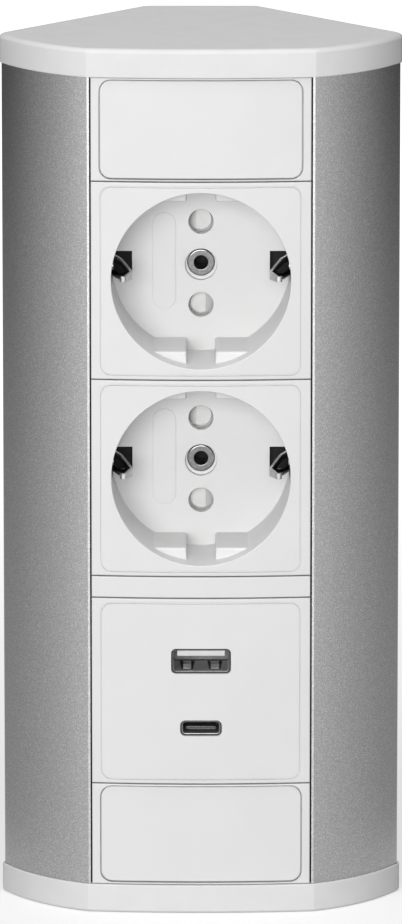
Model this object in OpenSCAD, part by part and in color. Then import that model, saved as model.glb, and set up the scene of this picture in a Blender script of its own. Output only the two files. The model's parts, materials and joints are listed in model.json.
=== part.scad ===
// Corner power tower for a desk or worktop.
// A round-sided aluminium extrusion with two 45 degree flanks stands in a corner. Its open front
// carries plastic modules that slide in along two rails: a blank, two earthed sockets with turning
// shutters, a spacer, a USB charger and a second blank. A moulded cap closes each end.
// X runs to the right, Y from the front to the back and Z up. Sizes are in millimetres.

/* [Modules] */
// Height of a blank module
blank_h = 23.5; // [20:0.5:40]
// Height of a socket module
socket_h = 45; // [45:0.5:60]
// Height of the spacer strip between the sockets and the USB charger
spacer_h = 5; // [4:0.5:20]
// Height of the USB module
usb_h = 43; // [40:0.5:60]
// Width of the modules' front
module_w = 48.9; // [48.5:0.1:52]
// Radius of the modules' gently round front
front_r = 240; // [180:1:600]
// Depth from the front's crown to the back of the modules' flange
flange_back = 2.8; // [2.6:0.1:3.2]
// Overlap of the flange on the rail behind it
flange_lip = 1.45; // [1.2:0.05:1.8]
// Depth of the modules' skirt behind the crown
core_depth = 6; // [5.8:0.1:8]
// Wall of the moulded parts
mould_t = 1.5; // [1.2:0.1:1.8]

/* [Body] */
// Half width of the extrusion where the round side would meet the flank
side_half_w = 45; // [44:0.5:60]
// Radius of the round side
side_r = 38; // [32:1:60]
// Depth of the extrusion from the front's crown to its back
body_depth = 52; // [50:0.5:56]
// Depth of the flanks, from that corner to the back
flank_depth = 32.4; // [30:0.2:34]
// Wall of the extrusion
wall = 1.6; // [1.4:0.1:2]
// Radius of the corner between the side and the flank
corner_r = 2.5; // [2.4:0.1:3.5]
// Radius of the corner between the flank and the back
back_r = 2.5; // [2.4:0.1:3.5]
// Outer radius of the extrusion's peg ports
port_r = 2.9; // [2.6:0.1:3.4]
// Radius of the caps' pegs
peg_r = 1.55; // [1.2:0.05:1.8]
// Length of a peg inside its port
peg_l = 8; // [5:0.5:15]
// Radius of the two fixing holes in the back
fix_hole_r = 2.25; // [1.6:0.05:3]
// Radius of the cable inlet's bore
inlet_r = 4.1; // [3:0.1:4.6]

/* [Caps] */
// Height of an end cap
cap_h = 6.5; // [5.5:0.5:12]
// Thickness of a cap's end wall
cap_top = 2.7; // [2.6:0.1:3.5]
// Distance that the caps stand proud of the extrusion
cap_lip = 0.5; // [0.3:0.1:1]
// Rounding of the top cap's upper edge
cap_round = 1.2; // [1:0.1:2.6]
// Rounding of the bottom cap's lower edge
foot_round = 0.8; // [0.4:0.1:2]

/* [Blanks] */
// Width of a blank's snap-in plate
plate_w = 44.9; // [42:0.1:45]
// Height of the frame that shows above and below the plate
plate_margin = 0.6; // [0.5:0.05:1.5]
// Distance of the plate's face behind the frame's face
plate_recess = 0.3; // [0.1:0.05:0.5]
// Corner radius of the plate
plate_corner_r = 2.5; // [1:0.1:4]
// Width of the ledge that the plate rests on
ledge_w = 3; // [2:0.1:4]

/* [Sockets] */
// Radius of the recess for the plug
recess_r = 20; // [19.8:0.1:20.5]
// Depth of the recess
recess_depth = 19.5; // [18.5:0.5:20]
// Thickness of the recess floor
floor_t = 2.5; // [2:0.1:3]
// Height from the recess axis to each guide block
guide_half = 17; // [16:0.1:18]
// Depth of the guide blocks' front behind the crown
guide_front = 5; // [3:0.5:8]
// Width of the notch in each guide block
notch_w = 6.4; // [5:0.1:8]
// Distance between the two pin holes
pin_pitch = 19; // [18.8:0.1:19.4]
// Radius of a pin hole
pin_hole_r = 2.8; // [2.5:0.05:2.9]
// Radius of the hollow rivet's shank
rivet_shank_r = 2.3; // [2:0.05:2.4]
// Radius of the hollow rivet's head
rivet_head_r = 3.1; // [2.9:0.05:3.3]
// Radius of the bore through the rivet
rivet_bore_r = 1.6; // [1.2:0.05:1.7]
// Gap above and below an earth clip in its slot
clip_slot_gap = 0.35; // [0.25:0.05:0.6]
// Width of an earth clip
clip_w = 4.9; // [4:0.1:5]
// Thickness of the earth clips' and the earth strap's metal
strip_t = 0.7; // [0.5:0.05:0.8]
// Distance from the recess axis to the clips' contact line
clip_reach = 15.2; // [14.8:0.1:15.6]
// Space for the wires between the socket bases and the extrusion's back
wiring_space = 12; // [11.6:0.1:12.5]
// Thickness of the shutter disc
shutter_t = 1.8; // [1.4:0.1:2]

/* [USB] */
// Distance from the USB module's top to the wide port's axis
usb_a_drop = 14.5; // [10:0.5:16]
// Distance from the USB module's top to the small port's axis
usb_c_drop = 30; // [26:0.5:32]
// Depth of the circuit board's front behind the crown
board_front = 12; // [10:0.5:16]
// Space between the charger case and the extrusion's back
case_space = 16; // [14:0.5:20]

/* [Hidden] */

// Clearances and the overrun of every cut
over = 1;
seat_gap = 0.2;
module_gap = 0.1;
fit_gap = 0.05;
running_gap = 0.08;
loose_gap = 0.3;

// Fineness of the curves, in segments
side_n = 16;
corner_n = 5;
front_n = 12;
round_n = 5;
circle_n = 48;
$fn = circle_n;

// Heights of the modules' lower edges, from the bottom up
bottom_blank_z = cap_h;
usb_z = bottom_blank_z + blank_h;
spacer_z = usb_z + usb_h;
lower_socket_z = spacer_z + spacer_h;
upper_socket_z = lower_socket_z + socket_h;
top_blank_z = upper_socket_z + socket_h;
body_top_z = top_blank_z + blank_h;
lower_axis_z = lower_socket_z + socket_h / 2;
upper_axis_z = upper_socket_z + socket_h / 2;

// Front opening of the extrusion, its rails and its edges
slide_gap = 0.3;
opening_half = module_w / 2 + slide_gap;
edge_w = 0.55;
edge_x = opening_half + edge_w;
core_half_w = module_w / 2 - flange_lip;
rail_x = core_half_w + seat_gap;
rail_front = flange_back + seat_gap;
rail_t = 1.4;
rail_back = rail_front + rail_t;
rib_reach = 0.9;
rib_t = 1;

// Depth of the modules' front at a distance x from the middle
function front_depth(x) = front_r - sqrt(front_r * front_r - x * x);

// Direction that turns from the front at 0 degrees, over the side at 90, to the back at 180
function ray(turn) = [sin(turn), -cos(turn)];
function arc(centre, r, from, to, n, first = 0) =
    [for (i = [first:n]) centre + r * ray(from + (to - from) * i / n)];
function mirrored(path) = [for (i = [len(path) - 1:-1:0]) [-path[i].x, path[i].y]];

// Round side from the front edge to the corner, then the 45 degree flank to the back
edge_d = front_depth(edge_x);
corner_d = body_depth - flank_depth;
side_chord = [side_half_w - edge_x, corner_d - edge_d];
side_start = atan2(side_chord.y, side_chord.x) - asin(norm(side_chord) / side_r / 2);
side_centre = [edge_x, edge_d] - side_r * ray(side_start);
flank_sum = side_half_w + corner_d;
flank_turn = 135;
back_turn = 180;
function corner_turn(inset) =
    45 + asin((flank_sum - inset * sqrt(2) - side_centre.x - side_centre.y) / (side_r - inset) / sqrt(2));
function corner_centre(inset) = side_centre + (side_r - inset) * ray(corner_turn(inset));
function back_centre(inset) = [flank_sum - body_depth - inset * (sqrt(2) - 1), body_depth - inset];
function side_path(grow) = concat(
    arc(side_centre, side_r + grow, side_start, corner_turn(corner_r), side_n),
    arc(corner_centre(corner_r), corner_r + grow, corner_turn(corner_r), flank_turn, corner_n, 1),
    arc(back_centre(back_r), back_r + grow, flank_turn, back_turn, corner_n));

// Outline of the extrusion with a straight front, and of the caps with the modules' round front
function outline(grow) = concat(side_path(grow), mirrored(side_path(grow)));
front_turn = asin(edge_x / front_r);
function cap_outline(grow) =
    concat(outline(grow), arc([0, front_r], front_r + grow, -front_turn, front_turn, front_n));

// Ports sit where the side meets the flank and where the flank meets the back
port_bite = 0.5;
port_inset = wall + port_r - port_bite;
port_points = [corner_centre(port_inset), back_centre(port_inset)];

// Middle of the depth, which lies over the origin
mid_depth = body_depth / 2;

// Screws behind the blanks hold the tower to the corner
bottom_fix_z = bottom_blank_z + blank_h / 2;
top_fix_z = top_blank_z + blank_h / 2;

// Cable inlet in the back
inlet_collar_t = 1.9;
inlet_flange_w = 1.4;
inlet_flange_t = 1.2;
inlet_hole_r = inlet_r + inlet_collar_t;
inlet_z = usb_z + inlet_hole_r + inlet_flange_w;

// Snap-in plates of the blanks
plate_h = blank_h - 2 * (module_gap + plate_margin);
plate_gap = 0.15;
plate_back = 2.4;
window_half_w = plate_w / 2 - ledge_w;
leg_w = 6;
leg_t = 1.2;
barb_reach = 0.6;
barb_l = 0.9;
plate_corner_n = 6;

// Shallow line round the faces of the sockets and the USB cover
groove_w = 0.35;
groove_depth = 0.25;
socket_groove_margin = 0.95;

// Socket, from the recess floor to its base
tub_extra = 0.23;
tub_r = recess_r + mould_t + tub_extra;
floor_back = recess_depth + floor_t;
seat_r = 3.8;
seat_floor = 1.3;
seat_depth = floor_t - seat_floor;
head_rise = 0.6;
rivet_hole_r = rivet_shank_r + fit_gap;
slot_inner = 15.4;
slot_front = 10;
clip_slot_h = clip_w + 2 * clip_slot_gap;
base_front = floor_back + module_gap;
base_back = body_depth - wiring_space;
base_half_w = 19.5;
base_half_h = socket_h / 2 - mould_t;
base_chamfer = 2;

// Turning shutter and its spring
shutter_front = base_front + seat_gap;
shutter_back = shutter_front + shutter_t;
pocket_back = shutter_back + seat_gap;
blade_lap = 0.8;
blade_r = pin_hole_r + blade_lap;
blade_t = shutter_t / 3;
pad_inset = 0.45;
pad_r = pin_hole_r - pad_inset;
ramp_share = [0.44, 1.25];
ramp_width_share = 0.95;
hub_r = 4.6;
pocket_r = pin_pitch / 2 + blade_r + loose_gap;
spring_turns = 3;
spring_steps = 8;
spring_sides = 6;
spring_wire_r = 0.25;
spring_r = 4;
spring_pitch = 0.95;
spring_leg = 1.2;
spring_front = shutter_back + spring_wire_r + fit_gap;
spring_back = spring_front + spring_pitch * spring_turns;
post_r = 3.3;
spring_pocket_r = spring_r + spring_leg + loose_gap;

// Pin contacts
contact_bore_r = 2.35;
contact_r = 3;
contact_slit = 0.8;
contact_front = pocket_back + seat_gap;
chamber_back = base_back - mould_t;
contact_back = chamber_back - seat_gap;
chamber_r = contact_r + 2 * seat_gap;
tail_x = 5.5;
tail_half_w = 1.8;
tail_t = 0.8;
tail_front_share = 0.62;
tail_front = contact_front + tail_front_share * (contact_back - contact_front);

// Earth strap round the base, and its two spring clips
strap_x = base_half_w + loose_gap + strip_t / 2;
strap_back = base_back + strip_t;
strap_half_h = 3;
lug_l = 3;
root_d = 26;
root_r = 0.5;
root_gap = 0.1;
bulge_r = 2.5;
bulge_d = 7;
lead_turn = 20;
lead_l = 3.6;
tip_r = 0.5;
nose_share = 0.37;
arm_share = 0.235;
nose_half = nose_share * clip_w / 2;
arm_w = arm_share * clip_w;
nose_back = bulge_d + 1.5;
taper_back = 13.5;
clip_window = [10, 20];
window_end_half = 0.2;
clip_lean = [0.9, 4];
clip_stem = 5;
clip_n = 8;
stem_front = base_front - seat_gap;

// Wires behind the sockets
wire_r = 1.3;
roll_t = head_rise;
solder_gap = 0.1;
wire_d = strap_back + roll_t + 2 * seat_gap + wire_r;
solder_d = wire_d - wire_r - solder_gap;
post_z = usb_z + usb_h / 2;
live_top_z = upper_axis_z + pin_pitch / 2 + tail_half_w;
neutral_top_z = upper_axis_z - pin_pitch / 2 + tail_half_w;
earth_top_z = upper_axis_z + strap_half_h + lug_l;
bracket_z = upper_socket_z;
bracket_half_w = 5;
bracket_half_h = 4;
bracket_t = 0.8;

// USB charger
usb_mid_z = usb_z + usb_h / 2;
usb_a_z = usb_z + usb_h - usb_a_drop;
usb_c_z = usb_z + usb_h - usb_c_drop;
shell_front = 0.6;
usb_a_size = [13.1, 5.5];
usb_a_wall = 0.35;
usb_c_size = [9, 3.3];
usb_c_wall = 0.3;
port_gap = 0.15;
tongue_a_size = [11.1, 1.84];
tongue_a_rise = 1.1;
tongue_a_front = 1.9;
tongue_c_size = [6.7, 0.7];
tongue_c_front = 1.5;
contact_n = 4;
contact_size = [1, 0.2];
contact_gap_w = 1.5;
finger_size = [2.4, 5];
finger_x = 3.2;
finger_front = 2.5;
finger_rise = 0.8;
finger_root = 0.5;
board_t = 1.6;
board_back = board_front + board_t;
case_back = body_depth - case_space;
case_half_w = core_half_w - seat_gap;
case_half_h = usb_h / 2 - seat_gap;
board_half_w = case_half_w - mould_t - loose_gap;
board_half_h = case_half_h - mould_t - loose_gap;
standoff_r = 2;
standoff_inset = 2.6;
inner_depth = case_back - mould_t - board_back;
core_depth_share = 0.62;
core_size = [17, core_depth_share * inner_depth, 14];
core_x = -9;
core_z_shift = -8;
core_leg = 3;
core_hole = [core_size.x - 2 * core_leg, core_size.y - 2 * core_leg];
winding_r = 5;
capacitor_r = 5;
capacitor_share = 0.76;
capacitor_l = capacitor_share * inner_depth;
capacitor_x = 10;
capacitor_z_shift = 7;
capacitor_bead = 0.5;
terminal_r = 1;
terminal_z_shift = 3;

// Basic shapes
function rounded_rect(w, h, r) = [
    for (corner = [[1, -1, 0], [1, 1, 90], [-1, 1, 180], [-1, -1, 270]])
        let (centre = [corner.x * (w / 2 - r), corner.y * (h / 2 - r)])
            each arc(centre, r, corner.z, corner.z + 90, plate_corner_n)
];
function chamfered_rect(half_w, half_h, c) = [
    [half_w, half_h - c], [half_w - c, half_h], [c - half_w, half_h], [-half_w, half_h - c],
    [-half_w, c - half_h], [c - half_w, -half_h], [half_w - c, -half_h], [half_w, c - half_h]
];
function bezier(p, n) = [
    for (i = [0:n]) let (t = i / n, s = 1 - t)
        s * s * s * p[0] + 3 * s * s * t * p[1] + 3 * s * t * t * p[2] + t * t * t * p[3]
];

// Path tools: direction at a point, a flat ribbon, and a round tube swept along points
function unit(v) = v / norm(v);
function heading(path, i) = unit(path[min(i + 1, len(path) - 1)] - path[max(i - 1, 0)]);
function side_of(path, i, shift) = let (d = heading(path, i)) path[i] + shift * [-d.y, d.x];
function ribbon(path, t) = concat(
    [for (i = [0:len(path) - 1]) side_of(path, i, t / 2)],
    [for (i = [len(path) - 1:-1:0]) side_of(path, i, -t / 2)]);
y_way = [0, 1, 0];
function tube_ring(path, i, r, n) =
    let (d = heading(path, i), u = unit(cross(d, y_way)), v = cross(u, d))
    [for (k = [0:n - 1]) path[i] + r * (cos(360 * k / n) * u + sin(360 * k / n) * v)];

module swept_tube(path, r, n) {
    last = len(path) - 1;
    polyhedron(
        [for (i = [0:last]) each tube_ring(path, i, r, n)],
        concat(
            [for (k = [1:n - 2]) [0, k, k + 1]],
            [for (i = [0:last - 1]) for (k = [0:n - 1])
                [i * n + k, i * n + n + k, i * n + (k + 1) % n]],
            [for (i = [0:last - 1]) for (k = [0:n - 1])
                [i * n + (k + 1) % n, i * n + n + k, i * n + n + (k + 1) % n]],
            [for (k = [1:n - 2]) [last * n, last * n + k + 1, last * n + k]]));
}

// Two like bars in plan, one on each side of the middle
module bar_pair(x_from, x_to, d, t) {
    for (x = [x_from, -x_to])
        translate([x, d])
            square([x_to - x_from, t]);
}

// Brings depth behind the crown to the origin's middle
module seated() {
    translate([0, -mid_depth, 0])
        children();
}

// Extrudes a side view of depth and height from one x to another
module along_x(from, to) {
    translate([from, 0, 0])
        rotate([90, 0, 90])
            linear_extrude(to - from)
                children();
}

// Extrudes a front view from one depth to another
module along_y(from, to) {
    translate([0, from, 0])
        rotate([-90, 0, 0])
            linear_extrude(to - from)
                children();
}

// Turns a profile of radius and depth about the Y axis
module turned_y(points) {
    rotate([-90, 0, 0])
        rotate_extrude()
            polygon(points);
}

// Extrusion
module profile_plan() {
    difference() {
        intersection() {
            polygon(outline(0));
            union() {
                difference() {
                    polygon(outline(over));
                    polygon(outline(-wall));
                }
                bar_pair(rail_x, opening_half + wall, rail_front, rail_t);
                bar_pair(opening_half, opening_half + wall, 0, rail_back);
                for (side = [-1, 1], p = port_points)
                    translate([side * p.x, p.y])
                        circle(port_r);
            }
        }
        translate([-opening_half, -over])
            square([2 * opening_half, rail_front + over]);
        for (side = [-1, 1], p = port_points)
            translate([side * p.x, p.y])
                circle(peg_r + fit_gap);
    }
}

module body_profile() {
    color("silver")
        seated()
            difference() {
                translate([0, 0, cap_h])
                    linear_extrude(body_top_z - cap_h)
                        profile_plan();
                for (z = [bottom_fix_z, top_fix_z])
                    translate([0, 0, z])
                        along_y(body_depth - wall - over, body_depth + over)
                            circle(fix_hole_r);
                translate([0, 0, inlet_z])
                    along_y(body_depth - wall - over, body_depth + over)
                        circle(inlet_hole_r);
            }
}

// End cap with its joint at z = 0 and its rounded face above
cap_slice = 0.02;
module cap(round_r) {
    difference() {
        hull() {
            linear_extrude(cap_h - round_r)
                polygon(cap_outline(cap_lip));
            for (i = [1:round_n])
                let (turn = 90 * i / round_n)
                    translate([0, 0, cap_h - round_r + round_r * sin(turn) - cap_slice])
                        linear_extrude(cap_slice)
                            polygon(cap_outline(cap_lip - round_r * (1 - cos(turn))));
        }
        difference() {
            translate([0, 0, -over])
                linear_extrude(cap_h - cap_top + over)
                    polygon(outline(-wall));
            for (side = [-1, 1], p = port_points)
                translate([side * p.x, p.y, -over])
                    cylinder(h = cap_h + over, r = port_r);
        }
    }
    for (side = [-1, 1], p = port_points)
        translate([side * p.x, p.y, -peg_l])
            cylinder(h = peg_l + cap_h - cap_top, r = peg_r);
}

module top_cap() {
    color("whitesmoke")
        seated()
            translate([0, 0, body_top_z])
                cap(cap_round);
}

module bottom_cap() {
    color("whitesmoke")
        seated()
            translate([0, 0, cap_h])
                mirror([0, 0, 1])
                    cap(foot_round);
}

// Plan of a slide-in module: round front, flange over the rails, skirt between them, ribs behind
module_turn = asin(module_w / 2 / front_r);
module module_plan() {
    half_w = module_w / 2;
    polygon(concat(arc([0, front_r], front_r, -module_turn, module_turn, front_n), [
        [half_w, flange_back], [core_half_w, flange_back], [core_half_w, core_depth],
        [-core_half_w, core_depth], [-core_half_w, flange_back], [-half_w, flange_back]
    ]));
    bar_pair(core_half_w - mould_t, core_half_w + rib_reach, rail_back + seat_gap, rib_t);
}

module solid_module(z, h) {
    translate([0, 0, z + module_gap])
        linear_extrude(h - 2 * module_gap)
            module_plan();
}

module hollow_module(z, h) {
    inner_h = h - 2 * (module_gap + mould_t);
    difference() {
        solid_module(z, h);
        translate([mould_t - core_half_w, flange_back, z + module_gap + mould_t])
            cube([2 * (core_half_w - mould_t), core_depth, inner_h]);
    }
}

// Layer of a module between its round face and a given depth below it
module face_layer(h, depth) {
    translate([0, 0, -h / 2])
        linear_extrude(h)
            polygon(concat(
                arc([0, front_r], front_r + over, -module_turn, module_turn, front_n),
                arc([0, front_r], front_r - depth, module_turn, -module_turn, front_n)));
}

module face_groove(w, h) {
    intersection() {
        face_layer(h, groove_depth);
        along_y(-over, flange_back)
            difference() {
                polygon(rounded_rect(w, h, plate_corner_r));
                polygon(rounded_rect(w - 2 * groove_w, h - 2 * groove_w, plate_corner_r - groove_w));
            }
    }
}

// Blank: a frame and the plate that snaps into it
module blank_frame(z) {
    color("whitesmoke")
        seated()
            difference() {
                solid_module(z, blank_h);
                translate([0, 0, z + blank_h / 2]) {
                    along_y(-over, plate_back)
                        polygon(rounded_rect(
                            plate_w + 2 * plate_gap, plate_h + 2 * plate_gap, plate_corner_r + plate_gap));
                    along_y(-over, core_depth + over)
                        square([2 * window_half_w, plate_h - 2 * ledge_w], center = true);
                }
            }
}

module blank_plate(z) {
    face_r = front_r - plate_recess;
    leg_front = plate_back - plate_recess;
    barb_front = core_depth + seat_gap;
    color("whitesmoke")
        seated()
            translate([0, 0, z + blank_h / 2]) {
                intersection() {
                    translate([0, 0, -plate_h / 2])
                        linear_extrude(plate_h)
                            polygon(concat(
                                arc([0, front_r], face_r, -module_turn, module_turn, front_n),
                                [[module_w / 2, plate_back], [-module_w / 2, plate_back]]));
                    along_y(-over, plate_back)
                        polygon(rounded_rect(plate_w, plate_h, plate_corner_r));
                }
                for (side = [-1, 1])
                    scale([side, 1, 1])
                        translate([window_half_w - seat_gap - leg_t, leg_front, -leg_w / 2]) {
                            cube([leg_t, barb_front + barb_l - leg_front, leg_w]);
                            translate([0, barb_front - leg_front, 0])
                                cube([leg_t + barb_reach, barb_l, leg_w]);
                        }
            }
}

module spacer_strip() {
    color("whitesmoke")
        seated()
            hollow_module(spacer_z, spacer_h);
}

// Socket cover: a face with a deep round recess, guide blocks, notches and clip slots
module guide_blocks() {
    along_y(guide_front, recess_depth + floor_t / 2)
        difference() {
            circle(recess_r + mould_t / 2);
            square([2 * tub_r, 2 * guide_half], center = true);
            square([notch_w, 2 * tub_r], center = true);
        }
}

module clip_slots() {
    for (side = [-1, 1])
        scale([side, 1, 1])
            translate([slot_inner, slot_front, -clip_slot_h / 2])
                cube([tub_r + over - slot_inner, floor_back + over - slot_front, clip_slot_h]);
}

module socket_cover(axis_z) {
    groove_h = socket_h - 2 * socket_groove_margin;
    color("whitesmoke")
        seated()
            difference() {
                union() {
                    difference() {
                        union() {
                            hollow_module(axis_z - socket_h / 2, socket_h);
                            translate([0, 0, axis_z])
                                along_y(mould_t, floor_back)
                                    circle(tub_r);
                        }
                        translate([0, 0, axis_z])
                            along_y(-over, recess_depth)
                                circle(recess_r);
                    }
                    translate([0, 0, axis_z])
                        guide_blocks();
                }
                translate([0, 0, axis_z]) {
                    face_groove(plate_w, groove_h);
                    clip_slots();
                    along_y(recess_depth - over, recess_depth + seat_depth)
                        circle(seat_r);
                    along_y(recess_depth - over, floor_back + over)
                        circle(rivet_hole_r);
                    for (side = [-1, 1])
                        translate([0, 0, side * pin_pitch / 2])
                            along_y(recess_depth - over, floor_back + over)
                                circle(pin_hole_r);
                }
            }
}

// Socket base: shutter pocket, spring pocket and a chamber for each pin contact
module socket_base(axis_z) {
    color("dimgray")
        seated()
            translate([0, 0, axis_z])
                difference() {
                    along_y(base_front, base_back)
                        polygon(chamfered_rect(base_half_w, base_half_h, base_chamfer));
                    along_y(base_front - over, pocket_back)
                        circle(pocket_r);
                    along_y(pocket_back - over, spring_back + spring_wire_r + loose_gap)
                        difference() {
                            circle(spring_pocket_r);
                            circle(post_r);
                        }
                    along_y(base_front - over, base_back + over)
                        circle(rivet_hole_r);
                    for (side = [-1, 1])
                        scale([side, 1, side])
                            translate([0, 0, pin_pitch / 2]) {
                                along_y(pocket_back - over, chamber_back)
                                    circle(chamber_r);
                                contact_tail(seat_gap, base_back + over);
                            }
                }
}

module contact_tail(gap, back) {
    translate([-tail_x - tail_half_w - gap, tail_front - gap, -tail_t / 2 - gap])
        cube([tail_x + tail_half_w + gap - contact_bore_r, back + gap - tail_front, tail_t + 2 * gap]);
}

// Slit sleeve that grips a pin, with a flat tail for the wire; side is 1 above and -1 below
module pin_contact(axis_z, side) {
    color("goldenrod")
        seated()
            translate([0, 0, axis_z])
                scale([side, 1, side])
                    translate([0, 0, pin_pitch / 2])
                        difference() {
                            union() {
                                along_y(contact_front, contact_back)
                                    circle(contact_r);
                                contact_tail(0, solder_d);
                            }
                            along_y(contact_front - over, contact_back + over) {
                                circle(contact_bore_r);
                                translate([0, -contact_slit / 2])
                                    square([contact_r + over, contact_slit]);
                            }
                        }
}

// Hollow rivet through the cover, the shutter, the base and the earth strap
module rivet(axis_z) {
    seat_d = recess_depth + seat_depth;
    curl_mid = (rivet_bore_r + rivet_head_r) / 2;
    curl_half = (rivet_head_r - rivet_bore_r) / 2;
    function curl(d, rise, from, to) = [
        for (i = [0:corner_n]) let (turn = from + (to - from) * i / corner_n)
            [curl_mid + curl_half * cos(turn), d + rise * sin(turn)]
    ];
    color("silver")
        seated()
            translate([0, 0, axis_z])
                turned_y(concat(
                    curl(seat_d, -head_rise, 180, 0),
                    [[rivet_shank_r, seat_d], [rivet_shank_r, strap_back]],
                    curl(strap_back, roll_t, 0, 180)));
}

// Turning shutter: a hub with a blade over each pin hole, and on each blade a round pad with a ramp
module shutter(axis_z) {
    blade_front = shutter_back - blade_t;
    pad_half = pad_r + over;
    color("white")
        seated()
            translate([0, 0, axis_z]) {
                along_y(blade_front, shutter_back)
                    difference() {
                        union() {
                            square([2 * post_r, pin_pitch], center = true);
                            for (side = [-1, 1])
                                translate([0, side * pin_pitch / 2])
                                    circle(blade_r);
                        }
                        circle((hub_r + rivet_shank_r) / 2);
                    }
                along_y(shutter_front, shutter_back)
                    difference() {
                        circle(hub_r);
                        circle(rivet_shank_r + running_gap);
                    }
                for (side = [-1, 1])
                    scale([side, 1, side])
                        translate([0, 0, pin_pitch / 2])
                            intersection() {
                                along_y(shutter_front, shutter_back) {
                                    circle(pad_r);
                                    translate([-pad_half, -pad_r * ramp_width_share])
                                        square([pad_half, 2 * pad_r * ramp_width_share]);
                                }
                                translate([0, 0, -pad_half])
                                    linear_extrude(2 * pad_half)
                                        polygon([
                                            [-pad_r * ramp_share[1], blade_front + blade_t / 2],
                                            [-pad_r * ramp_share[1], blade_front],
                                            [-pad_r * ramp_share[0], shutter_front],
                                            [pad_half, shutter_front], [pad_half, blade_front + blade_t / 2]
                                        ]);
                            }
            }
}

// Torsion spring behind the shutter, with one leg to the outside
spring_path = [
    for (i = [0:spring_turns * spring_steps])
        let (turn = 360 * i / spring_steps, d = spring_front + spring_pitch * i / spring_steps)
            [spring_r * cos(turn), d, spring_r * sin(turn)],
    [spring_r + spring_leg, spring_back, 0]
];
spring_gap = min([
    for (i = [0:len(spring_path) - 1]) for (k = [i + spring_steps / 2:1:len(spring_path) - 1])
        norm(spring_path[i] - spring_path[k])
]) - 2 * spring_wire_r;
echo(least_gap_in_spring = spring_gap);

module shutter_spring(axis_z) {
    color("dimgray")
        seated()
            translate([0, 0, axis_z])
                swept_tube(spring_path, spring_wire_r, spring_sides);
}

// Earth strap across the back of the base, with an arm along each side
module earth_strap(axis_z) {
    arm_front = root_d + root_r + root_gap;
    color("goldenrod")
        seated()
            translate([0, 0, axis_z])
                difference() {
                    union() {
                        translate([-strap_x - strip_t / 2, base_back, -strap_half_h])
                            cube([2 * strap_x + strip_t, strip_t, 2 * strap_half_h]);
                        for (side = [-1, 1])
                            translate([side * strap_x - strip_t / 2, arm_front, -clip_w / 2])
                                cube([strip_t, strap_back - arm_front, clip_w]);
                        translate([-tail_half_w, base_back, 0])
                            cube([2 * tail_half_w, strip_t, strap_half_h + lug_l]);
                        translate([-tail_half_w, base_back, strap_half_h + lug_l - strip_t])
                            cube([2 * tail_half_w, solder_d - base_back, strip_t]);
                    }
                    along_y(base_back - over, strap_back + over)
                        circle(rivet_hole_r);
                }
}

// Spring clip that touches the plug's side: it springs from its root outwards; side is -1 on the left.
// Two arms run forward on both sides of a window and meet in a narrow nose with a slanted lead-in.
clip_line_x = clip_reach + strip_t / 2;
clip_path = concat(
    [[strap_x, root_d]],
    bezier([
        [strap_x, stem_front], [strap_x, stem_front - clip_stem],
        [clip_line_x, bulge_d] + clip_lean, [clip_line_x, bulge_d]
    ], clip_n),
    arc([clip_line_x + bulge_r, bulge_d], bulge_r, -90, lead_turn - 90, corner_n, 1),
    [[clip_line_x + bulge_r, bulge_d] + bulge_r * ray(lead_turn - 90)
        + lead_l * [sin(lead_turn), -cos(lead_turn)]]);

// Side view of the clip: two arms round a window, which taper to the nose
module clip_side() {
    half = clip_w / 2;
    difference() {
        polygon([
            [root_d + over, half], [taper_back, half], [nose_back, nose_half], [0, nose_half],
            [0, -nose_half], [nose_back, -nose_half], [taper_back, -half], [root_d + over, -half]
        ]);
        polygon([
            [clip_window[1], half - arm_w], [taper_back, half - arm_w], [clip_window[0], window_end_half],
            [clip_window[0], -window_end_half], [taper_back, arm_w - half], [clip_window[1], arm_w - half]
        ]);
    }
}

module earth_clip(axis_z, side) {
    tip = clip_path[len(clip_path) - 1];
    color("lightgray")
        seated()
            translate([0, 0, axis_z])
                scale([side, 1, 1])
                    intersection() {
                        translate([0, 0, -clip_w]) {
                            linear_extrude(2 * clip_w)
                                polygon(ribbon(clip_path, strip_t));
                            translate([strap_x, root_d, 0])
                                cylinder(h = 2 * clip_w, r = root_r);
                            translate([tip.x, tip.y, 0])
                                cylinder(h = 2 * clip_w, r = tip_r);
                        }
                        along_x(0, strap_x + over)
                            clip_side();
                    }
}

// USB cover with a wide and a small port
module port_rect(size, gap, r) {
    polygon(rounded_rect(size.x + 2 * gap, size.y + 2 * gap, r + gap));
}

usb_a_corner = 0.5;
usb_c_corner = usb_c_size.y / 2 - usb_c_wall / 2;

module usb_cover() {
    groove_h = usb_h - 2 * socket_groove_margin;
    color("whitesmoke")
        seated()
            difference() {
                hollow_module(usb_z, usb_h);
                translate([0, 0, usb_mid_z])
                    face_groove(plate_w, groove_h);
                translate([0, 0, usb_a_z])
                    along_y(-over, core_depth + over)
                        port_rect(usb_a_size, port_gap, usb_a_corner);
                translate([0, 0, usb_c_z])
                    along_y(-over, core_depth + over)
                        port_rect(usb_c_size, port_gap, usb_c_corner);
            }
}

// Charger case behind the USB cover, open to the front, with a standoff in each corner
module usb_case() {
    color("dimgray")
        seated()
            translate([0, 0, usb_mid_z]) {
                difference() {
                    along_y(core_depth, case_back)
                        square([2 * case_half_w, 2 * case_half_h], center = true);
                    along_y(core_depth - over, case_back - mould_t)
                        square([2 * (case_half_w - mould_t), 2 * (case_half_h - mould_t)], center = true);
                    for (side = [-1, 1])
                        translate([side * tail_x, 0, terminal_z_shift])
                            along_y(case_back - mould_t - over, case_back + over)
                                circle(terminal_r + fit_gap);
                }
                for (side = [-1, 1], level = [-1, 1])
                    translate([
                        side * (board_half_w - standoff_inset), 0, level * (board_half_h - standoff_inset)
                    ])
                        along_y(board_back, case_back - mould_t / 2)
                            circle(standoff_r);
            }
}

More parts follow.
